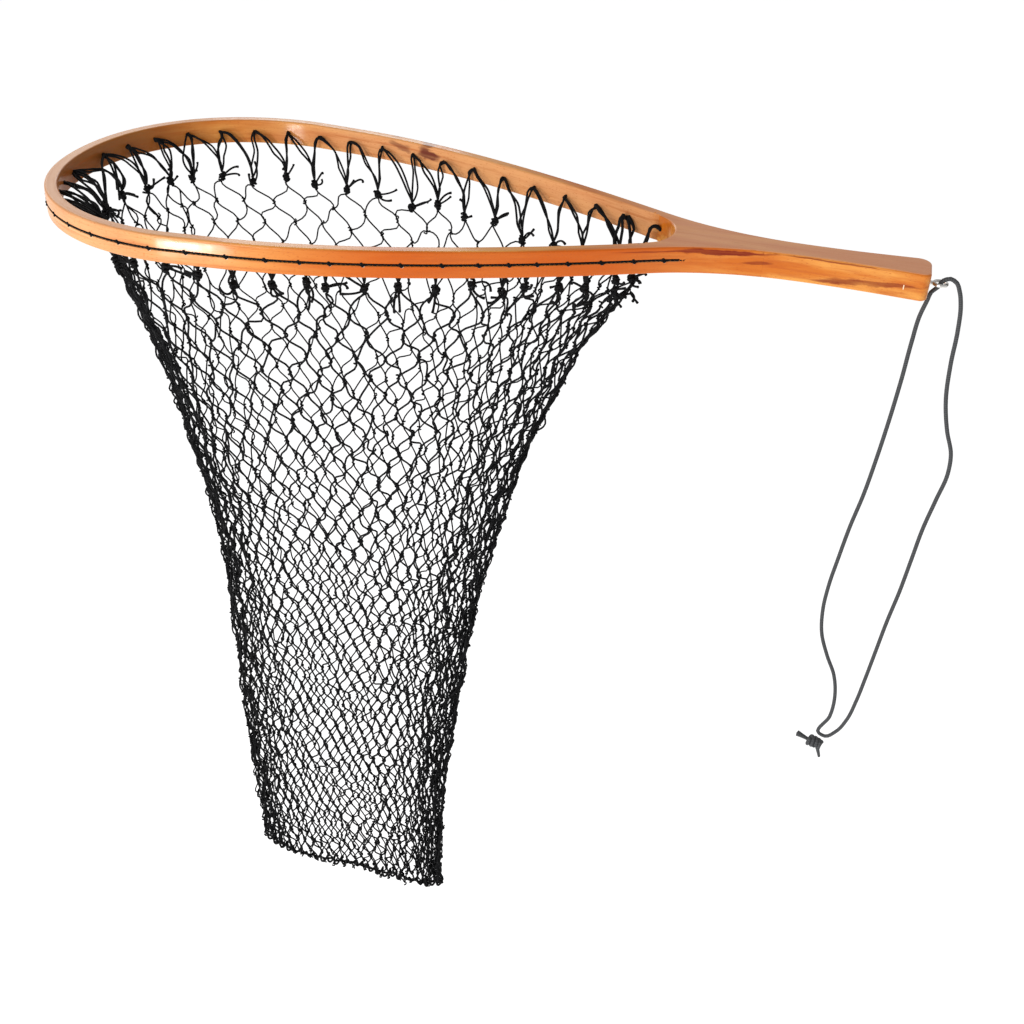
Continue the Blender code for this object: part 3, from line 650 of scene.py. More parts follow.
def build_lanyard_knot(sheath):
    """An overhand knot in both strands: its wraps, a splayed cut end and a pointed one."""
    knot = Strands()
    axis = np.array((0.96, 0.0, -0.28))
    side = np.array((0.28, 0.0, 0.96))
    front = np.array((0.0, -1.0, 0.0))
    t = np.linspace(0.0, 1.0, 44)
    for start, end, radius, turns, phase, thick in KNOT_WRAPS:
        angle = 2 * math.pi * turns * t + phase
        radii = radius * (1.0 + 0.10 * np.sin(3 * angle))
        knot.add(KNOT + np.outer(start + (end - start) * t, axis) + circling(angle, radii, side, front),
                 thick, sides=12)
    t = np.linspace(0.0, 1.0, 14)
    left = KNOT + front * 0.0006 - np.outer(0.0035 + 0.0115 * t, axis) + np.outer(0.0012 * t, side)
    knot.add(left, 0.00130 + 0.00115 * t ** 1.6, sides=12)
    right = KNOT + front * 0.0022 + np.outer(0.0030 + 0.0062 * t, axis)
    knot.add(right - np.outer(0.0010 + 0.0092 * t, side), 0.00170 - 0.00065 * t, sides=12)
    return knot.build("lanyard_knot_wraps", sheath)


# ---------------------------------------------------------------- the wood's outline


def half_outline():
    """Half the outside edge in plan, tip to butt, evenly spaced, with its joins eased."""
    turn = np.linspace(0.0, math.pi / 2, 200)
    nose = np.stack([NOSE_LENGTH * (1 - np.cos(turn) ** NOSE_POWER),
                     HALF_WIDTH * np.sin(turn) ** NOSE_POWER], axis=1)
    along = np.linspace(NOSE_LENGTH, TOTAL_LENGTH, 300)[1:]
    flank = np.stack([along, table_value(FLANK, along)], axis=1)
    path = resample(np.concatenate([nose, flank]), 700)
    whole = np.concatenate([path[:0:-1] * (1.0, -1.0), path])
    reach = 24
    weights = np.exp(-0.5 * (np.arange(-reach, reach + 1) / 6.0) ** 2)
    weights /= weights.sum()
    before = 2 * whole[0] - whole[reach:0:-1]
    after = 2 * whole[-1] - whole[-2:-reach - 2:-1]
    padded = np.concatenate([before, whole, after])
    eased = np.stack([np.convolve(padded[:, i], weights, "valid") for i in range(2)], axis=1)
    half = eased[len(path) - 1:]
    half[0, 1] = 0.0
    return half


OUTLINE = half_outline()
RUN = arc_lengths(OUTLINE)
STEP = np.gradient(OUTLINE, axis=0)
STEP[0] = (0.0, 1.0)
INWARD = unit(np.stack([STEP[:, 1], -STEP[:, 0]], axis=1))


def at_arc(arcs, depth=0.0):
    """Plan positions in the part's frame at signed arcs from the tip, and inward directions there."""
    arcs = np.atleast_1d(np.asarray(arcs, float))
    side = np.where(arcs < 0, -1.0, 1.0)
    place = np.stack([np.interp(np.abs(arcs), RUN, OUTLINE[:, i]) for i in range(2)], axis=1)
    inward = unit(np.stack([np.interp(np.abs(arcs), RUN, INWARD[:, i]) for i in range(2)], axis=1))
    place[:, 1] *= side
    inward[:, 1] *= side
    place[:, 0] += TIP_X
    return place + inward * np.reshape(depth, (-1, 1)), inward


def strip_thickness(from_tip):
    share = np.clip((from_tip - SCARF_START) / (TAIL_END - SCARF_START), 0.0, 1.0)
    return STRIP + (TAIL_EDGE - STRIP) * share


def hole_arcs():
    number = np.arange(NEAR_HOLES)
    swell = np.sin(np.pi * np.minimum(number / NEAR_UNEVEN, 1.0))
    wander = np.sin(2 * np.pi * (number / NEAR_WANDER_COUNT - 0.75))
    near = -(LAST_HOLE_ARC - NEAR_SPACING * number + (NEAR_CROWD + NEAR_WANDER * wander) * swell)
    far = FAR_START - FAR_SPACING * np.arange(FAR_HOLES)
    return np.concatenate([near, far[::-1]])


def wood_depth(place, inward):
    """How much wood a hole passes: the strip, or as far as the throat where the handle backs it."""
    centre = np.array((TIP_X + THROAT_END - THROAT_RADIUS, 0.0))
    away = place - centre
    along = away @ inward
    square = along * along - (away @ away - THROAT_RADIUS ** 2)
    if square <= 0.0 or place[0] < TIP_X + SCARF_START:
        return STRIP
    return max(STRIP, -along - math.sqrt(square))


# ---------------------------------------------------------------- wood


def strip_section(thick, inner_round, groove):
    """Depth and height round one section of the strip, starting at the groove's bottom."""
    top = HALF_HEIGHT

    def ceiling(depth):
        inside = EDGE_ROUND - np.minimum(depth, EDGE_ROUND)
        return top - EDGE_ROUND + np.sqrt(np.maximum(EDGE_ROUND ** 2 - inside ** 2, 0.0))

    lip = math.acos(-GROOVE_INSET / GROOVE_RADIUS)
    bend = np.linspace(0.0, lip, 6)
    hollow = [(groove * (GROOVE_INSET + GROOVE_RADIUS * math.cos(b)), GROOVE_RADIUS * math.sin(b))
              for b in bend]
    face = [(CROWN * (z / top) ** 2, z) for z in (*FACE_HEIGHTS, top - EDGE_ROUND)]
    quarter = np.linspace(0.0, math.pi / 2, 7)
    shift = CROWN * ((top - EDGE_ROUND) / top) ** 2
    edge = [(min(shift + EDGE_ROUND * (1 - math.cos(a)), thick), a) for a in quarter[1:]]
    edge = [(d, float(ceiling(d - shift))) for d, _ in edge]
    middle = min(thick, (EDGE_ROUND + thick - inner_round) / 2)
    flat = [(middle, float(ceiling(middle)))]
    inner = [(thick - inner_round * (1 - math.sin(a)),
              float(ceiling(thick - inner_round * (1 - math.sin(a)))) - inner_round * (1 - math.cos(a)))
             for a in quarter]
    upper = hollow + [(min(d, thick), z) for d, z in face] + edge + flat + inner + [(thick, 0.0)]
    lower = [(d, -z) for d, z in upper[-2:0:-1]]
    return np.array(upper + lower)


def smooth_step(t):
    t = np.clip(t, 0.0, 1.0)
    return t * t * (3 - 2 * t)


def drill_holes(made):
    """Bore the tie holes; the drills aren't kept."""
    drills = bmesh.new()
    for place, inward in zip(*at_arc(hole_arcs())):
        depth = wood_depth(place, inward)
        turn = Vector((*inward, 0.0)).to_track_quat("Z", "Y").to_matrix().to_4x4()
        middle = Vector((*(place + inward * depth / 2), 0.0))
        bmesh.ops.create_cone(drills, cap_ends=True, segments=16, radius1=HOLE_RADIUS,
                              radius2=HOLE_RADIUS, depth=depth + DRILL_MARGIN,
                              matrix=Matrix.Translation(middle) @ turn)
    drill = object_from(drills, "drills")
    cut = made.modifiers.new("holes", "BOOLEAN")
    cut.operation, cut.solver, cut.object = "DIFFERENCE", "MANIFOLD", drill
    apply_modifiers(made)
    bpy.data.objects.remove(drill, do_unlink=True)


def even_arcs(arcs):
    """Arcs stretched so that the unevenly drilled near holes lie evenly."""
    holes = hole_arcs()[:NEAR_HOLES]
    evenly = -(LAST_HOLE_ARC - NEAR_SPACING * np.arange(NEAR_HOLES))
    return arcs + np.interp(arcs, holes, evenly - holes)


def finish_wood(made, grain, strip):
    """Store where each point lies in the grain (arc, depth and height), and shade flat faces flat."""
    for name, kind, field, values in (("grain", "FLOAT_VECTOR", "vector", grain),
                                      ("strip", "FLOAT", "value", np.full(len(grain), strip)),
                                      ("even_arc", "FLOAT", "value", even_arcs(grain[:, 0]))):
        layer = made.data.attributes.new(name, kind, "POINT")
        layer.data.foreach_set(field, values.astype(np.float32).ravel())
    made.data.shade_smooth()
    made.data.set_sharp_from_angle(angle=math.radians(40))
    weighted = made.modifiers.new("flat_faces", "WEIGHTED_NORMAL")
    weighted.keep_sharp = True
    weighted.weight = 80


def points_of(made):
    points = np.zeros(len(made.data.vertices) * 3)
    made.data.vertices.foreach_get("co", points)
    return points.reshape(-1, 3)


def build_hoop(look):
    tail = float(np.interp(TAIL_END, OUTLINE[:, 0], RUN))
    half = np.concatenate([np.arange(0.0012, 0.50, 0.0024), np.arange(0.50, tail, 0.0012), [tail]])
    arcs = np.concatenate([-half[::-1], half])
    horn = THROAT_END - THROAT_RADIUS * (1 - math.cos(THROAT_SWEEP))
    rings = []
    for arc, place, inward in zip(arcs, *at_arc(arcs)):
        from_tip = place[0] - TIP_X
        rounding = EDGE_ROUND * float(smooth_step((horn - from_tip) / 0.008))
        groove = float(smooth_step((GROOVE_END - abs(arc)) / 0.0015))
        section = strip_section(float(strip_thickness(from_tip)), rounding, groove)
        plan = place + inward * section[:, :1]
        rings.append(np.c_[plan, section[:, 1]])
    rings = np.array(rings)
    n, m = rings.shape[:2]
    i, j = np.meshgrid(np.arange(n - 1), np.arange(m), indexing="ij")
    after = (j + 1) % m
    quads = np.stack([i * m + j, i * m + after, (i + 1) * m + after, (i + 1) * m + j], -1)
    shape = bmesh.new()
    shape.from_mesh(make_mesh("hoop_strip", rings.reshape(-1, 3), quads.reshape(-1, 4)))
    shape.verts.ensure_lookup_table()
    shape.faces.new([shape.verts[k] for k in range(m)])
    shape.faces.new([shape.verts[(n - 1) * m + k] for k in range(m)])
    bmesh.ops.remove_doubles(shape, verts=shape.verts, dist=2e-6)
    bmesh.ops.recalc_face_normals(shape, faces=shape.faces)
    hoop = object_from(shape, "hoop_strip", look)
    drill_holes(hoop)
    finish_wood(hoop, strip_grain(points_of(hoop)), 1.0)
    stand_for(hoop, "net", "hoop")


def strip_grain(points):
    """The strip's grain follows its outline: each point's arc, depth and height."""
    tree = KDTree(2 * len(OUTLINE))
    signed = np.concatenate([RUN, -RUN])
    plan, inward = at_arc(np.where(signed == 0.0, 1e-9, signed))
    for k, spot in enumerate(plan):
        tree.insert((*spot, 0.0), k)
    tree.balance()
    nearest = np.array([tree.find((x, y, 0.0))[1] for x, y, _ in points])
    away = points[:, :2] - plan[nearest]
    along = np.stack([-inward[nearest, 1], inward[nearest, 0]], axis=1)
    arc = signed[nearest] + (away * along).sum(1)
    depth = (away * inward[nearest]).sum(1)
    return np.c_[arc, depth, points[:, 2]]


def half_handle(side):
    """One half of the handle's edge from the throat to the butt: plan points, directions into the
    wood, how much strip lies outside each point, and how far its edge is rounded."""
    centre = THROAT_END - THROAT_RADIUS
    sweep = np.linspace(0.0, THROAT_SWEEP, 60)
    into = np.stack([np.cos(sweep), np.sin(sweep)], axis=1)
    throat = np.array((centre, 0.0)) + THROAT_RADIUS * into
    covered = (OUTLINE[:, 0] > throat[-1, 0] - 0.004) & (OUTLINE[:, 0] < TAIL_END)
    cover = strip_thickness(OUTLINE[covered, 0]) + JOINT_GAP
    beside = OUTLINE[covered] + INWARD[covered] * cover[:, None]
    keep = beside[:, 0] > throat[-1, 0] + 0.0004
    beside, cover, beside_in = beside[keep], cover[keep], INWARD[covered][keep]
    room = np.array([np.linalg.norm(beside - p, axis=1).min() for p in throat])
    throat_round = np.minimum(EDGE_ROUND, 0.4 * room)
    corner = CORNERS[side]
    bare = (OUTLINE[:, 0] > TAIL_END + 0.0004) & (OUTLINE[:, 0] < TOTAL_LENGTH - corner)
    width = float(np.interp(TOTAL_LENGTH - corner, OUTLINE[:, 0], OUTLINE[:, 1]))
    turn = np.linspace(0.0, math.pi / 2, 14)
    outward = np.stack([np.sin(turn), np.cos(turn)], axis=1)
    bend = np.array((TOTAL_LENGTH - corner, width - corner)) + corner * outward
    end = np.stack([np.full(6, TOTAL_LENGTH), np.linspace(bend[-1, 1], 0.0, 7)[1:]], axis=1)
    points = np.concatenate([throat, beside, OUTLINE[bare], bend, end])
    inside = np.concatenate([into, beside_in, INWARD[bare], -outward, np.tile((-1.0, 0.0), (6, 1))])
    counts = (len(throat), len(beside), int(bare.sum()), len(bend), len(end))
    outside = np.concatenate([np.zeros(counts[0]), cover, np.zeros(sum(counts[2:]))])
    rounds = np.concatenate([throat_round, np.full(sum(counts[1:]), EDGE_ROUND)])
    return points, inside, outside, rounds


def build_handle(look):
    far, near = half_handle(1), half_handle(-1)
    flip = np.array((1.0, -1.0))
    points = np.concatenate([far[0], (near[0] * flip)[-2:0:-1]]) + (TIP_X, 0.0)
    inside = np.concatenate([far[1], (near[1] * flip)[-2:0:-1]])
    outside = np.concatenate([far[2], near[2][-2:0:-1]])
    rounds = np.concatenate([far[3], near[3][-2:0:-1]])
    first = np.arccos(np.clip(1 - outside / rounds, 0.0, 1.0))
    rings = []
    for share in np.linspace(0.0, 1.0, 7):
        angle = first + (math.pi / 2 - first) * share
        inset = np.maximum(rounds * (1 - np.cos(angle)) - outside, 0.0)
        height = HALF_HEIGHT - rounds * (1 - np.sin(angle))
        rings.append(np.c_[points + inside * inset[:, None], height])
    rings = rings[::-1] + [ring * (1.0, 1.0, -1.0) for ring in rings]
    shape = bmesh.new()
    levels = [[shape.verts.new(p) for p in ring] for ring in rings]
    count = len(points)
    for upper, lower in zip(levels, levels[1:]):
        for i in range(count):
            j = (i + 1) % count
            shape.faces.new((upper[i], upper[j], lower[j], lower[i]))
    shape.faces.new(levels[0])
    shape.faces.new(levels[-1])
    bmesh.ops.remove_doubles(shape, verts=shape.verts, dist=1e-6)
    bmesh.ops.dissolve_degenerate(shape, edges=shape.edges, dist=1e-6)
    bmesh.ops.recalc_face_normals(shape, faces=shape.faces)
    handle = object_from(shape, "handle_wood", look)
    drill_holes(handle)
    # its grain runs on from the strip's near side
    end_run, end_width = (np.interp(HANDLE_JOIN, OUTLINE[:, 0], v) for v in (RUN, OUTLINE[:, 1]))
    points = points_of(handle)
    arc = HANDLE_JOIN - end_run - (points[:, 0] - TIP_X)
    depth = points[:, 1] + end_width
    finish_wood(handle, np.c_[arc, depth, points[:, 2]], 0.0)
    stand_for(handle, "net", "handle")


# ---------------------------------------------------------------- lashing and ties


def build_lashing(look):
    """Two strands twisted together in the groove, with a turn of twine over each hole."""
    arcs = np.linspace(-LASHING_END, LASHING_END, 2200)
    place, inward = at_arc(arcs)
    holes = hole_arcs()
    lift = np.exp(-0.5 * (np.abs(arcs[:, None] - holes).min(1) / 0.0012) ** 2)
    twist = arcs * 2 * math.pi / LASHING_PITCH + 0.8 * np.sin(arcs * 90.0)
    lashing = Strands()
    for start in (0.0, math.pi):
        across = 0.00034 * np.cos(twist + start)
        deep = 0.00055 + 0.00030 * np.sin(twist + start) - 0.0004 * lift
        plan = place + inward * deep[:, None]
        lashing.add(np.c_[plan, across], LASHING_STRAND, sides=6)
    for arc in holes:
        spot, into = (v[0] for v in at_arc(arc))
        ahead = np.array((-into[1], into[0]))
        angle = np.linspace(0.0, 2 * math.pi * rng.uniform(0.9, 1.3), 16) + rng.uniform(0, 6)
        wide = rng.uniform(0.0010, 0.0015)
        ring = (spot + np.outer(wide * np.cos(angle), ahead)
                + np.outer(0.0003 - 0.0006 * np.sin(2 * angle), into))
        lashing.add(np.c_[ring, 0.0011 * np.sin(angle)], LASHING_TURN, sides=6)
    for sign in (-1.0, 1.0):
        for _ in range(7):
            reach = np.linspace(0.0, rng.uniform(0.002, 0.0045), 6)
            spots, into = at_arc(sign * (LASHING_END + reach), 0.0004 - 0.12 * reach)
            fan = rng.normal(0.0, 0.22) * reach
            lashing.add(np.c_[spots, fan], LASHING_FRAY, sides=4)
    stand_for(lashing.build("groove_twine", look), "net", "groove_lashing")


def bezier(start, start_pull, end_pull, end, count):
    t = np.linspace(0.0, 1.0, count)[:, None]
    a, b, c, d = (np.asarray(p, float) for p in (start, start_pull, end_pull, end))
    return a * (1 - t) ** 3 + 3 * b * t * (1 - t) ** 2 + 3 * c * t * t * (1 - t) + d * t ** 3


def net_pull(from_tip, near):
    """How far the bag draws its hitches along the hoop: away from the tip, and from the throat."""
    by_tip = np.where(near, NEAR_PULL * np.exp(-((from_tip - NEAR_PULL_PLACE) / NEAR_PULL_REACH) ** 2),
                      FAR_PULL * np.exp(-from_tip / FAR_PULL_REACH))
    by_throat = THROAT_PULL * np.exp(-np.abs(from_tip - THROAT_PULL_PLACE) / THROAT_PULL_REACH)
    return by_tip - by_throat


def hitch_places():
    """Where each tie's hitch hangs: under its hole, inside the hoop."""
    arcs = hole_arcs()
    shift = np.where(arcs < 0, 1.0, -1.0) * rng.uniform(*HITCH_SHIFT, TIES)
    near = arcs < 0
    drop = np.where(near, rng.uniform(*NEAR_DROP, TIES), rng.uniform(*FAR_DROP, TIES))
    from_tip = at_arc(arcs)[0][:, 0] - TIP_X
    drop += np.where(near, 0.002, -0.010) * np.exp(-from_tip / 0.02)
    depths = [wood_depth(p, n) + rng.uniform(*HITCH_GAP) for p, n in zip(*at_arc(arcs))]
    plan, _ = at_arc(arcs + shift, np.array(depths))
    plan[:, 0] += net_pull(from_tip, near)
    return np.c_[plan, -drop]


def wrapped_turns(strands, centre, axis, turns, wide, low, high):
    one = unit(np.cross(axis, (0.3, 1.0, 0.1)))
    two = np.cross(axis, one)
    t = np.linspace(0.0, 1.0, 26)
    angle = 2 * math.pi * turns * t + rng.uniform(0, 6)
    radii = wide * (1 + 0.15 * np.sin(2.3 * angle))
    strands.add(centre + np.outer(low + (high - low) * t, axis) + circling(angle, radii, one, two),
                TIE_RADIUS * 1.05)


def from_hole(strands, hole, into, first_pull, last_pull, end, thick=1.0):
    """A strand that comes straight out of its hole, then bends away to where it is bound."""
    start = hole + into * 0.0010 + rng.normal(0.0, 0.0006, 3)
    wobble = rng.normal(0.0, TIE_WOBBLE, (5, 3))
    wobble[[0, -1]] = 0.0
    at, bends = np.linspace(0.0, 1.0, 20), np.linspace(0.0, 1.0, 5)
    bent = bezier(start, first_pull, last_pull, end, 20)
    bent = bent + np.stack([np.interp(at, bends, wobble[:, i]) for i in range(3)], 1)
    path = np.concatenate([[start - into * 0.0050], [start - into * 0.0006], bent])
    radii = np.full(len(path), thick * TIE_RADIUS)
    radii[:6] *= (1.3, 1.3, 1.3, 1.25, 1.2, 1.1)
    strands.add(path, radii)


def cut_end(strands, start, heading, length):
    """A cut end of twine that curls a little and frays thicker at its tip."""
    bend = rng.normal(0.0, 0.0024, 3)
    end = start + heading * length + rng.normal(0.0, 0.0015, 3)
    path = bezier(start, start + heading * length * 0.4 + bend, end - heading * 0.003 + bend, end, 10)
    radii = np.full(10, TIE_RADIUS)
    radii[-2:] *= (1.15, 1.35)
    strands.add(path, radii)


def hole_strands(tie, own, own_in, bind_top, by_throat):
    """The pair of strands from the tie's own hole."""
    for _ in range(2):
        lift = rng.uniform(0.0, 0.004) + (0.008 if by_throat else 0.0)
        over = own + own_in * rng.uniform(0.005, 0.010) + UP * lift
        hang = bind_top + UP * 0.010 + rng.normal(0.0, 0.0040, 3) * (1.0, 1.0, 0.5)
        from_hole(tie, own, own_in, over, hang, bind_top, THROAT_THICK if by_throat else 1.0)


def swept_strands(tie, own, prior, prior_in, bind_top, by_throat):
    """The doubled strand that sweeps over from the hole before."""
    span = own - prior
    leave = prior + prior_in * rng.uniform(0.005, 0.008) + span * rng.uniform(0.25, 0.50)
    leave = leave + UP * rng.uniform(-0.002, 0.003)
    arrive = bind_top + UP * rng.uniform(0.009, 0.017) - span * rng.uniform(-0.10, 0.10)
    for _ in range(2):
        apart = rng.normal(0.0, 0.0014, 3)
        arrive_apart = arrive + rng.normal(0.0, 0.0022, 3)
        from_hole(tie, prior, prior_in, leave + apart, arrive_apart, bind_top,
                  THROAT_THICK if by_throat else 1.0)


def tip_strands(tie, own, own_in, hitch, bind_top, count):
    """The looser strands of the tangle inside the tip."""
    for _ in range(count):
        over = own + own_in * rng.uniform(0.004, 0.009) + rng.normal(0.0, 0.0015, 3)
        hang = bind_top + UP * rng.uniform(0.008, 0.018) + rng.normal(0.0, 0.0040, 3)
        from_hole(tie, own, own_in, over, hang, hitch + rng.normal(0.0, 0.0030, 3))


def bind_hitch(tie, hitch):
    lean = unit(rng.normal(0.0, 0.25, 3) + UP)
    for turns, wide, low, high, tilt in BINDINGS:
        axis = unit(lean + rng.normal(0.0, tilt, 3)) if tilt else lean
        wrapped_turns(tie, hitch, axis, turns, wide, low, high)


def cut_ends(tie, hitch, from_tip, far, by_throat):
    """Two cut ends, which point away from the tip there, and more where the photo shows more."""
    if far:
        outward = np.array((0.75, 0.1, 0.55))
    else:
        outward = unit(rng.normal(0.0, 1.0, 3) * (1.0, 0.6, 0.5) + (0.4, -0.3, 0.0))
        if from_tip < 0.06:
            outward = unit((0.8, -0.2 + outward[1] / 2, -0.5))
    for _ in range(2):
        heading = unit(outward + rng.normal(0.0, 0.45, 3))
        cut_end(tie, hitch, heading, rng.uniform(0.008, 0.015))
    if by_throat and not far:
        for _ in range(6):
            start = hitch - UP * rng.uniform(0.0, 0.012)
            heading = unit((0.1 + rng.normal(0.0, 0.5), -0.2, -0.5 + rng.normal(0.0, 0.4)))
            cut_end(tie, start, heading, rng.uniform(0.004, 0.008))
    if not far and abs(from_tip - LONG_ENDS) < 0.010:
        for _ in range(2):
            heading = unit((0.12 + rng.normal(0.0, 0.1), 0.1, 1.0))
            cut_end(tie, hitch, heading, rng.uniform(0.038, 0.046))


def build_tie(number, hitch, hole_spots, look):
    """One hitch: a pair of strands from its own hole, a doubled one that sweeps over from the hole
    before it, the turns that bind them and the cut ends."""
    tie = Strands()
    (own, own_in), (prior, prior_in) = hole_spots
    bind_top = hitch + UP * BIND_RISE
    from_tip = own[0] - TIP_X
    by_throat = from_tip > THROAT_TIES
    hole_strands(tie, own, own_in, bind_top, by_throat)
    swept_strands(tie, own, prior, prior_in, bind_top, by_throat)
    tip_strands(tie, own, own_in, hitch, bind_top, int(round(2 * math.exp(-from_tip / 0.05))))
    bind_hitch(tie, hitch)
    cut_ends(tie, hitch, from_tip, own[1] > 0.0, by_throat)
    stand_for(tie.build(f"tie_{number:02d}", look), "net", f"net_tie_{number:02d}")


def build_ties(hitches, look):
    arcs = hole_arcs()
    spots = []
    for place, inward in zip(*at_arc(arcs)):
        exit_point = place + inward * wood_depth(place, inward)
        spots.append((np.array((*exit_point, 0.0)), np.array((*inward, 0.0))))
    for i, hitch in enumerate(hitches):
        prior = i + 1 if arcs[i] < 0 else i - 1
        build_tie(i + 1, hitch, (spots[i], spots[prior]), look)


# ---------------------------------------------------------------- netting


def bag_places(theta, height, top_plan):
    """Plan positions of columns theta at a height: the hitches' ring near the top, turning into a
    flat oval lower down, with the columns crowding at its two ends."""
    wrapped = np.mod(theta, COLUMNS)
    index = np.arange(COLUMNS + 1)
    tear = np.stack([np.interp(wrapped, index, np.append(top_plan[:, i], top_plan[0, i]))
                     for i in range(2)], axis=1)
    low, high = np.sort(top_plan[:, 0])[:5].mean(), top_plan[:, 0].max()
    tear_x = np.clip((tear[:, 0] - low) / (high - low), 0.0, 1.0)
    tear_y = tear[:, 1] / np.abs(top_plan[:, 1]).max()
    turn = np.where(wrapped > COLUMNS - 0.5, wrapped - COLUMNS, wrapped)
    near_count = NEAR_COLUMNS.sum()
    near = turn <= near_count - 0.5
    share = np.where(near, (turn + 0.5) / near_count,
                     (turn - near_count + 0.5) / (COLUMNS - near_count))
    from_throat = np.clip(np.where(near, share, 1.0 - share), 0.0, 1.0) ** 1.25
    half_turn = np.pi * (from_throat - 0.05 * np.sin(2 * np.pi * from_throat))
    crowded, even = np.cos(half_turn), 1.0 - 2.0 * from_throat
    oval_x = 0.5 + 0.5 * (ENDS_CROWD * crowded + (1.0 - ENDS_CROWD) * even)
    oval_y = np.where(near, -1.0, 1.0) * np.sin(half_turn)
    blend = np.clip((height - BAG_TOP) / (BAG_BOTTOM - BAG_TOP), 0.0, 1.0) ** SECTION_EASE
    left, right = (table_value(BAG_ENDS, height, c) for c in (1, 2))
    x = TIP_X + left + (right - left) * (tear_x + (oval_x - tear_x) * blend)
    y = table_value(BAG_DEPTHS, height) * (tear_y + (oval_y - tear_y) * blend)
    return np.stack([x, y], axis=1)


def row_heights():
    """How far down each row of knots hangs: the wider the mesh is pulled, the shallower it is."""
    heights = [BAG_TOP]
    while heights[-1] > BAG_BOTTOM:
        bar, half_mesh = (table_value(t, heights[-1]) for t in (BARS, HALF_MESHES))
        heights.append(heights[-1] - ROW_SLACK * math.sqrt(bar ** 2 - half_mesh ** 2))
    heights = np.array(heights) - BAG_TOP
    return BAG_TOP + heights * (BAG_BOTTOM - BAG_TOP) / heights[-1]


def row_links(row):
    """The columns of the next row that each knot's two bars run to."""
    here = np.arange(COLUMNS)
    if row % 2 == 0:
        return np.mod(here - 1, COLUMNS), here
    return here, np.mod(here + 1, COLUMNS)


def evenly_stretched(knots):
    """Slide the rows along each column of the bag's shape so that no side is pulled tighter."""
    down = knots[:, :, 2] - knots[0, :, 2]
    share = (down / down[-1])[:, 0]
    steps = np.linalg.norm(np.diff(knots, axis=0), axis=2)
    run = np.concatenate([np.zeros((1, COLUMNS)), np.cumsum(steps, axis=0)])
    moved = np.empty_like(knots)
    for i in range(COLUMNS):
        for axis in range(3):
            moved[:, i, axis] = np.interp(share * run[-1, i], run[:, i], knots[:, i, axis])
    return moved


def seam_lift(x, low, high):
    """How much higher the seam hangs toward its two corners."""
    by_tip = 0.016 * np.clip(1.0 - (x - low) / 0.030, 0.0, 1.0) ** 1.5
    return by_tip + 0.009 * np.clip(1.0 - (high - x) / 0.022, 0.0, 1.0) ** 1.5


def laid_rows(heights, tops):
    """Every row's knots on the bag's shape; the first rows follow the hitches up and down."""
    knots = np.zeros((len(heights), COLUMNS, 3))
    for row, height in enumerate(heights):
        level = np.full(COLUMNS, height)
        plan = bag_places(np.arange(COLUMNS) + 0.5 * (row % 2), level, tops[:, :2])
        knots[row] = np.c_[plan, level]
    knots = evenly_stretched(knots)
    knots[0] = tops - UP * TOP_KNOT_DROP
    fade = np.exp(-np.arange(len(heights)) / 4.0)
    knots[:, :, 2] += fade[:, None] * (knots[0, :, 2] - BAG_TOP)[None, :]
    knots[0, :, 2] = tops[:, 2] - TOP_KNOT_DROP
    return knots


def roughened(knots, heights, bars):
    """The same knots moved a little off their rows, with the seam lifted toward its corners."""
    number = np.arange(len(heights))
    uneven = rng.normal(0.0, 1.0, knots.shape)
    uneven = 0.6 * uneven + 0.4 * np.roll(uneven, 1, axis=1)
    rougher = 1.0 + ROUGHER * np.clip((ROUGH_FROM - heights) / ROUGH_OVER, 0.0, 1.0)
    reach = bars * rougher * np.clip(number / 3.0, 0.0, 1.0)
    x = knots[:, :, 0]
    low, high = (f(x, axis=1, keepdims=True) for f in (np.min, np.max))
    inside = np.clip(4.0 * (x - low) * (high - x) / (high - low) ** 2, 0.0, 1.0)
    goal = knots + uneven * (np.array(UNEVEN) * reach[:, None, None]) * (0.35 + 0.65 * inside)[:, :, None]
    goal[:, :, 2] += seam_lift(x, low, high) * np.exp((number - number[-1]) / 4.0)[:, None]
    goal[0] = knots[0]
    return goal


def settled(goal, bars):
    """The knots drawn together wherever a bar is longer than its twine."""
    knots = goal.copy()
    passes = 60
    for turn in range(passes):
        pull = PULL_BACK if turn < passes * 0.7 else 0.0
        knots[1:] += pull * (goal[1:] - knots[1:])
        for row in range(len(knots) - 1):
            for link in row_links(row):
                gap = knots[row + 1][link] - knots[row]
                length = np.linalg.norm(gap, axis=1, keepdims=True)
                extra = np.maximum(length - TWINE_GIVE * bars[row], 0.0) / length * gap
                share = 0.0 if row == 0 else 0.5
                knots[row] += share * extra
                knots[row + 1][link] -= (1.0 - share) * extra
    return knots


def hang_netting(hitches):
    """Knot positions row by row, and the length of each row's bars."""
    heights = row_heights()
    tops = hitches[COLUMN_TIES]
    tops[:, :2] += rng.normal(0.0, 0.0009, (COLUMNS, 2))
    bars = table_value(BARS, heights)
    return settled(roughened(laid_rows(heights, tops), heights, bars), bars), bars


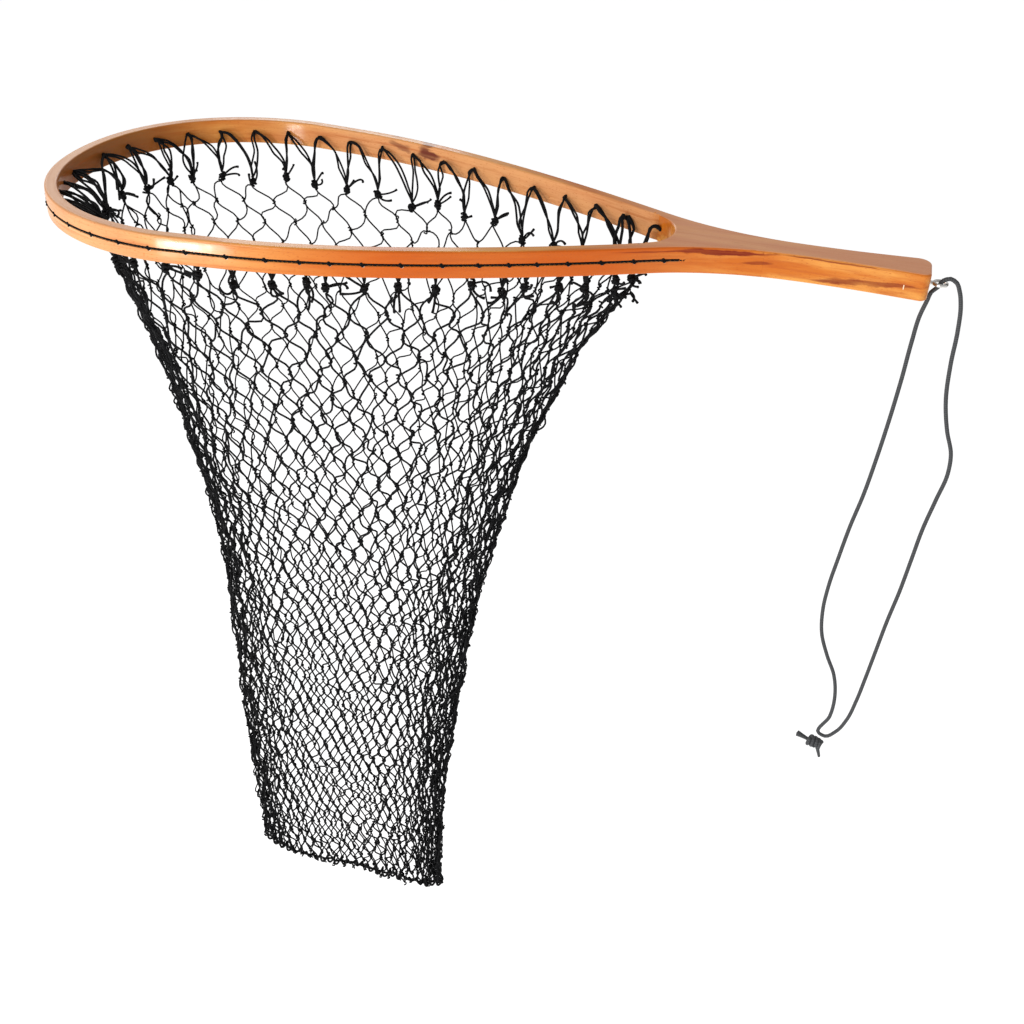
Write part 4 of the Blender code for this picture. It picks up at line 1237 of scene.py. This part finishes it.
def curved_bar(a, b, twine, centre):
    """A bar that leaves its knot nearly straight down, swings across and bows by its slack."""
    chord = b - a
    length = math.sqrt(chord @ chord)
    spare = max(twine - length, 0.0)
    sway = min(0.637 * math.sqrt(length * spare), SWAY_LIMIT * twine)
    out = (a - centre) * (1.0, 1.0, 0.0)
    out = out / max(math.sqrt(out @ out), 1e-6)
    side = np.cross(chord / length, out)
    side = side / max(math.sqrt(side @ side), 1e-6)
    mood = rng.uniform(0.0, 2 * math.pi)
    once, twice = SWAY_ONCE * sway * math.cos(mood), SWAY_TWICE * sway * math.sin(mood)
    lean = rng.normal(0.0, 0.6)
    t = np.linspace(0.0, 1.0, 7)
    swing = -np.sin(2 * math.pi * t) / (2 * math.pi)
    bow = np.outer(once * np.sin(math.pi * t), side * math.cos(lean) + out * math.sin(lean))
    bow += np.outer(twice * np.sin(2 * math.pi * t), side)
    bow += np.outer(rng.uniform(0.55, 0.95) * swing, chord * (1.0, 1.0, 0.0))
    return a + np.outer(t, chord) + bow


def knot_wrap(at):
    """The turn of twine that makes one knot."""
    turn = np.linspace(0.0, 1.0, 12)
    lean = unit(rng.normal(0.0, 0.22, 3) + UP)
    one = unit(np.cross(lean, rng.normal(0.0, 1.0, 3)))
    angle = 2 * math.pi * rng.uniform(1.2, 1.6) * turn
    tall = rng.uniform(0.0020, 0.0030)
    wide = 0.00100 * (1.0 + 0.25 * np.sin(angle * 0.9))
    return (at + np.outer(tall * (turn - 0.5) * 2 * 0.8, lean)
            + circling(angle, wide, one, np.cross(lean, one)))


def build_netting(hitches, look):
    """The netting's bars and its knots."""
    knots, twine = hang_netting(hitches)
    bars, wraps = Strands(), Strands()
    for row, centre in enumerate(knots[:-1].mean(axis=1)):
        for link in row_links(row):
            for i in range(COLUMNS):
                a, b = knots[row, i], knots[row + 1, link[i]]
                share = BAR_SHARES[0 if a[1] < 0.0 and b[1] < 0.0 else 1]
                bars.add(curved_bar(a, b, twine[row], centre), NET_RADIUS * share, sides=5, capped=False)
    for at in knots[1:].reshape(-1, 3):
        wraps.add(knot_wrap(at), NET_RADIUS * KNOT_SHARES[0 if at[1] < 0.0 else 1], sides=5)
    for strands, name in ((bars, "netting_bars"), (wraps, "netting_knots")):
        stand_for(strands.build(name, look), "net", "net_bag")
    return knots


def build_lacing(knots, look):
    """Twine wound along the bottom row, closing the front and back of the bag together."""
    last = knots[-1]
    order = np.argsort(last[:, 0])
    spine = last[order]
    spine = np.stack([np.convolve(np.pad(spine[:, i], 2, "edge"), np.ones(5) / 5, "valid")
                      for i in range(3)], axis=1)
    spine = smooth_path(spine, 420)
    angle = np.linspace(0.0, 2 * math.pi * 26, len(spine))
    lacing = Strands()
    wide = 0.0028 + 0.0012 * np.sin(angle * 0.13)
    lacing.add(spine + circling(angle, wide, (0.0, 1.0, 0.0), UP), NET_RADIUS * 1.25)
    lacing.add(spine - UP * 0.0006, NET_RADIUS * 1.25)
    stand_for(lacing.build("bottom_lace", look), "net", "bottom_lacing")


# ---------------------------------------------------------------- screw eye


def build_eye(look):
    """One wire: a straight shank that runs into the wood, bent round into a ring."""
    ring_x = BUTT_X + EYE_GAP + EYE_WIRE + EYE_RING
    shank_end = ring_x - EYE_RING - 0.0012
    shank = [(x, 0.0, EYE_Z) for x in np.linspace(BUTT_X - SHANK_DEPTH, shank_end, 12)]
    turn = np.linspace(math.radians(160), math.radians(-165), 60)
    ring = [(ring_x + EYE_RING * math.cos(a), EYE_RING * math.sin(a), EYE_Z) for a in turn]
    path = smooth_path(shank[-3:] + ring, 110)
    eye = Strands()
    eye.add(shank, SHANK_RADIUS, sides=16)
    eye.add(path, EYE_WIRE, sides=16)
    thread = np.linspace(0.0, 1.0, 120)
    spin = thread * 2 * math.pi * THREAD_TURNS
    eye.add(np.stack([BUTT_X - 0.0105 + 0.0115 * thread, THREAD_RADIUS * np.cos(spin),
                      EYE_Z + THREAD_RADIUS * np.sin(spin)], 1), 0.00022, sides=6)
    stand_for(eye.build("screw_eye_wire", look), "net", "screw_eye")


# ---------------------------------------------------------------- floor and light


def build_surroundings():
    corners = [(x * FLOOR_REACH, y * FLOOR_REACH, FLOOR_Z)
               for x, y in ((-1, -1), (1, -1), (1, 1), (-1, 1))]
    add_object("floor", make_mesh("floor", corners, [(0, 1, 2, 3)]), floor_look())
    world = bpy.data.worlds.new("studio")
    bpy.context.scene.world = world
    world.use_nodes = True
    inputs = world.node_tree.nodes["Background"].inputs
    inputs["Color"].default_value = (1.0, 1.0, 1.0, 1.0)
    inputs["Strength"].default_value = WORLD_LIGHT
    for name, place, target, (wide, tall), power in LAMPS:
        lamp = bpy.data.lights.new(name, "AREA")
        lamp.shape = "RECTANGLE"
        lamp.size, lamp.size_y, lamp.energy = wide, tall, power
        made = bpy.data.objects.new(name, lamp)
        bpy.context.scene.collection.objects.link(made)
        made.location = place
        made.rotation_mode = "QUATERNION"
        made.rotation_quaternion = (Vector(target) - Vector(place)).to_track_quat("-Z", "Y")
        made.visible_camera = False


def floor_look():
    g = Graph("pale_floor")
    return g.surface(Base_Color=g.mix(g.speckle(3.0), (0.80, 0.80, 0.80), (0.83, 0.83, 0.83)),
                     Roughness=0.9, Specular_IOR_Level=0.1, Emission_Color=(1.0, 1.0, 1.0, 1.0),
                     Emission_Strength=0.58)


def main():
    bpy.context.scene.view_settings.view_transform = "Standard"
    build_camera()
    build_lanyard(braid_look())
    wood = wood_look()
    twine = twine_look("black_twine", TWINE_DARK, TWINE_PALE, TWINE_PITCH, TWINE_PLIES)
    build_hoop(wood)
    build_handle(wood)
    build_lashing(twine)
    hitches = hitch_places()
    build_ties(hitches, twine)
    knots = build_netting(hitches, twine)
    build_lacing(knots, twine)
    build_eye(nickel_look())
    build_surroundings()


main()
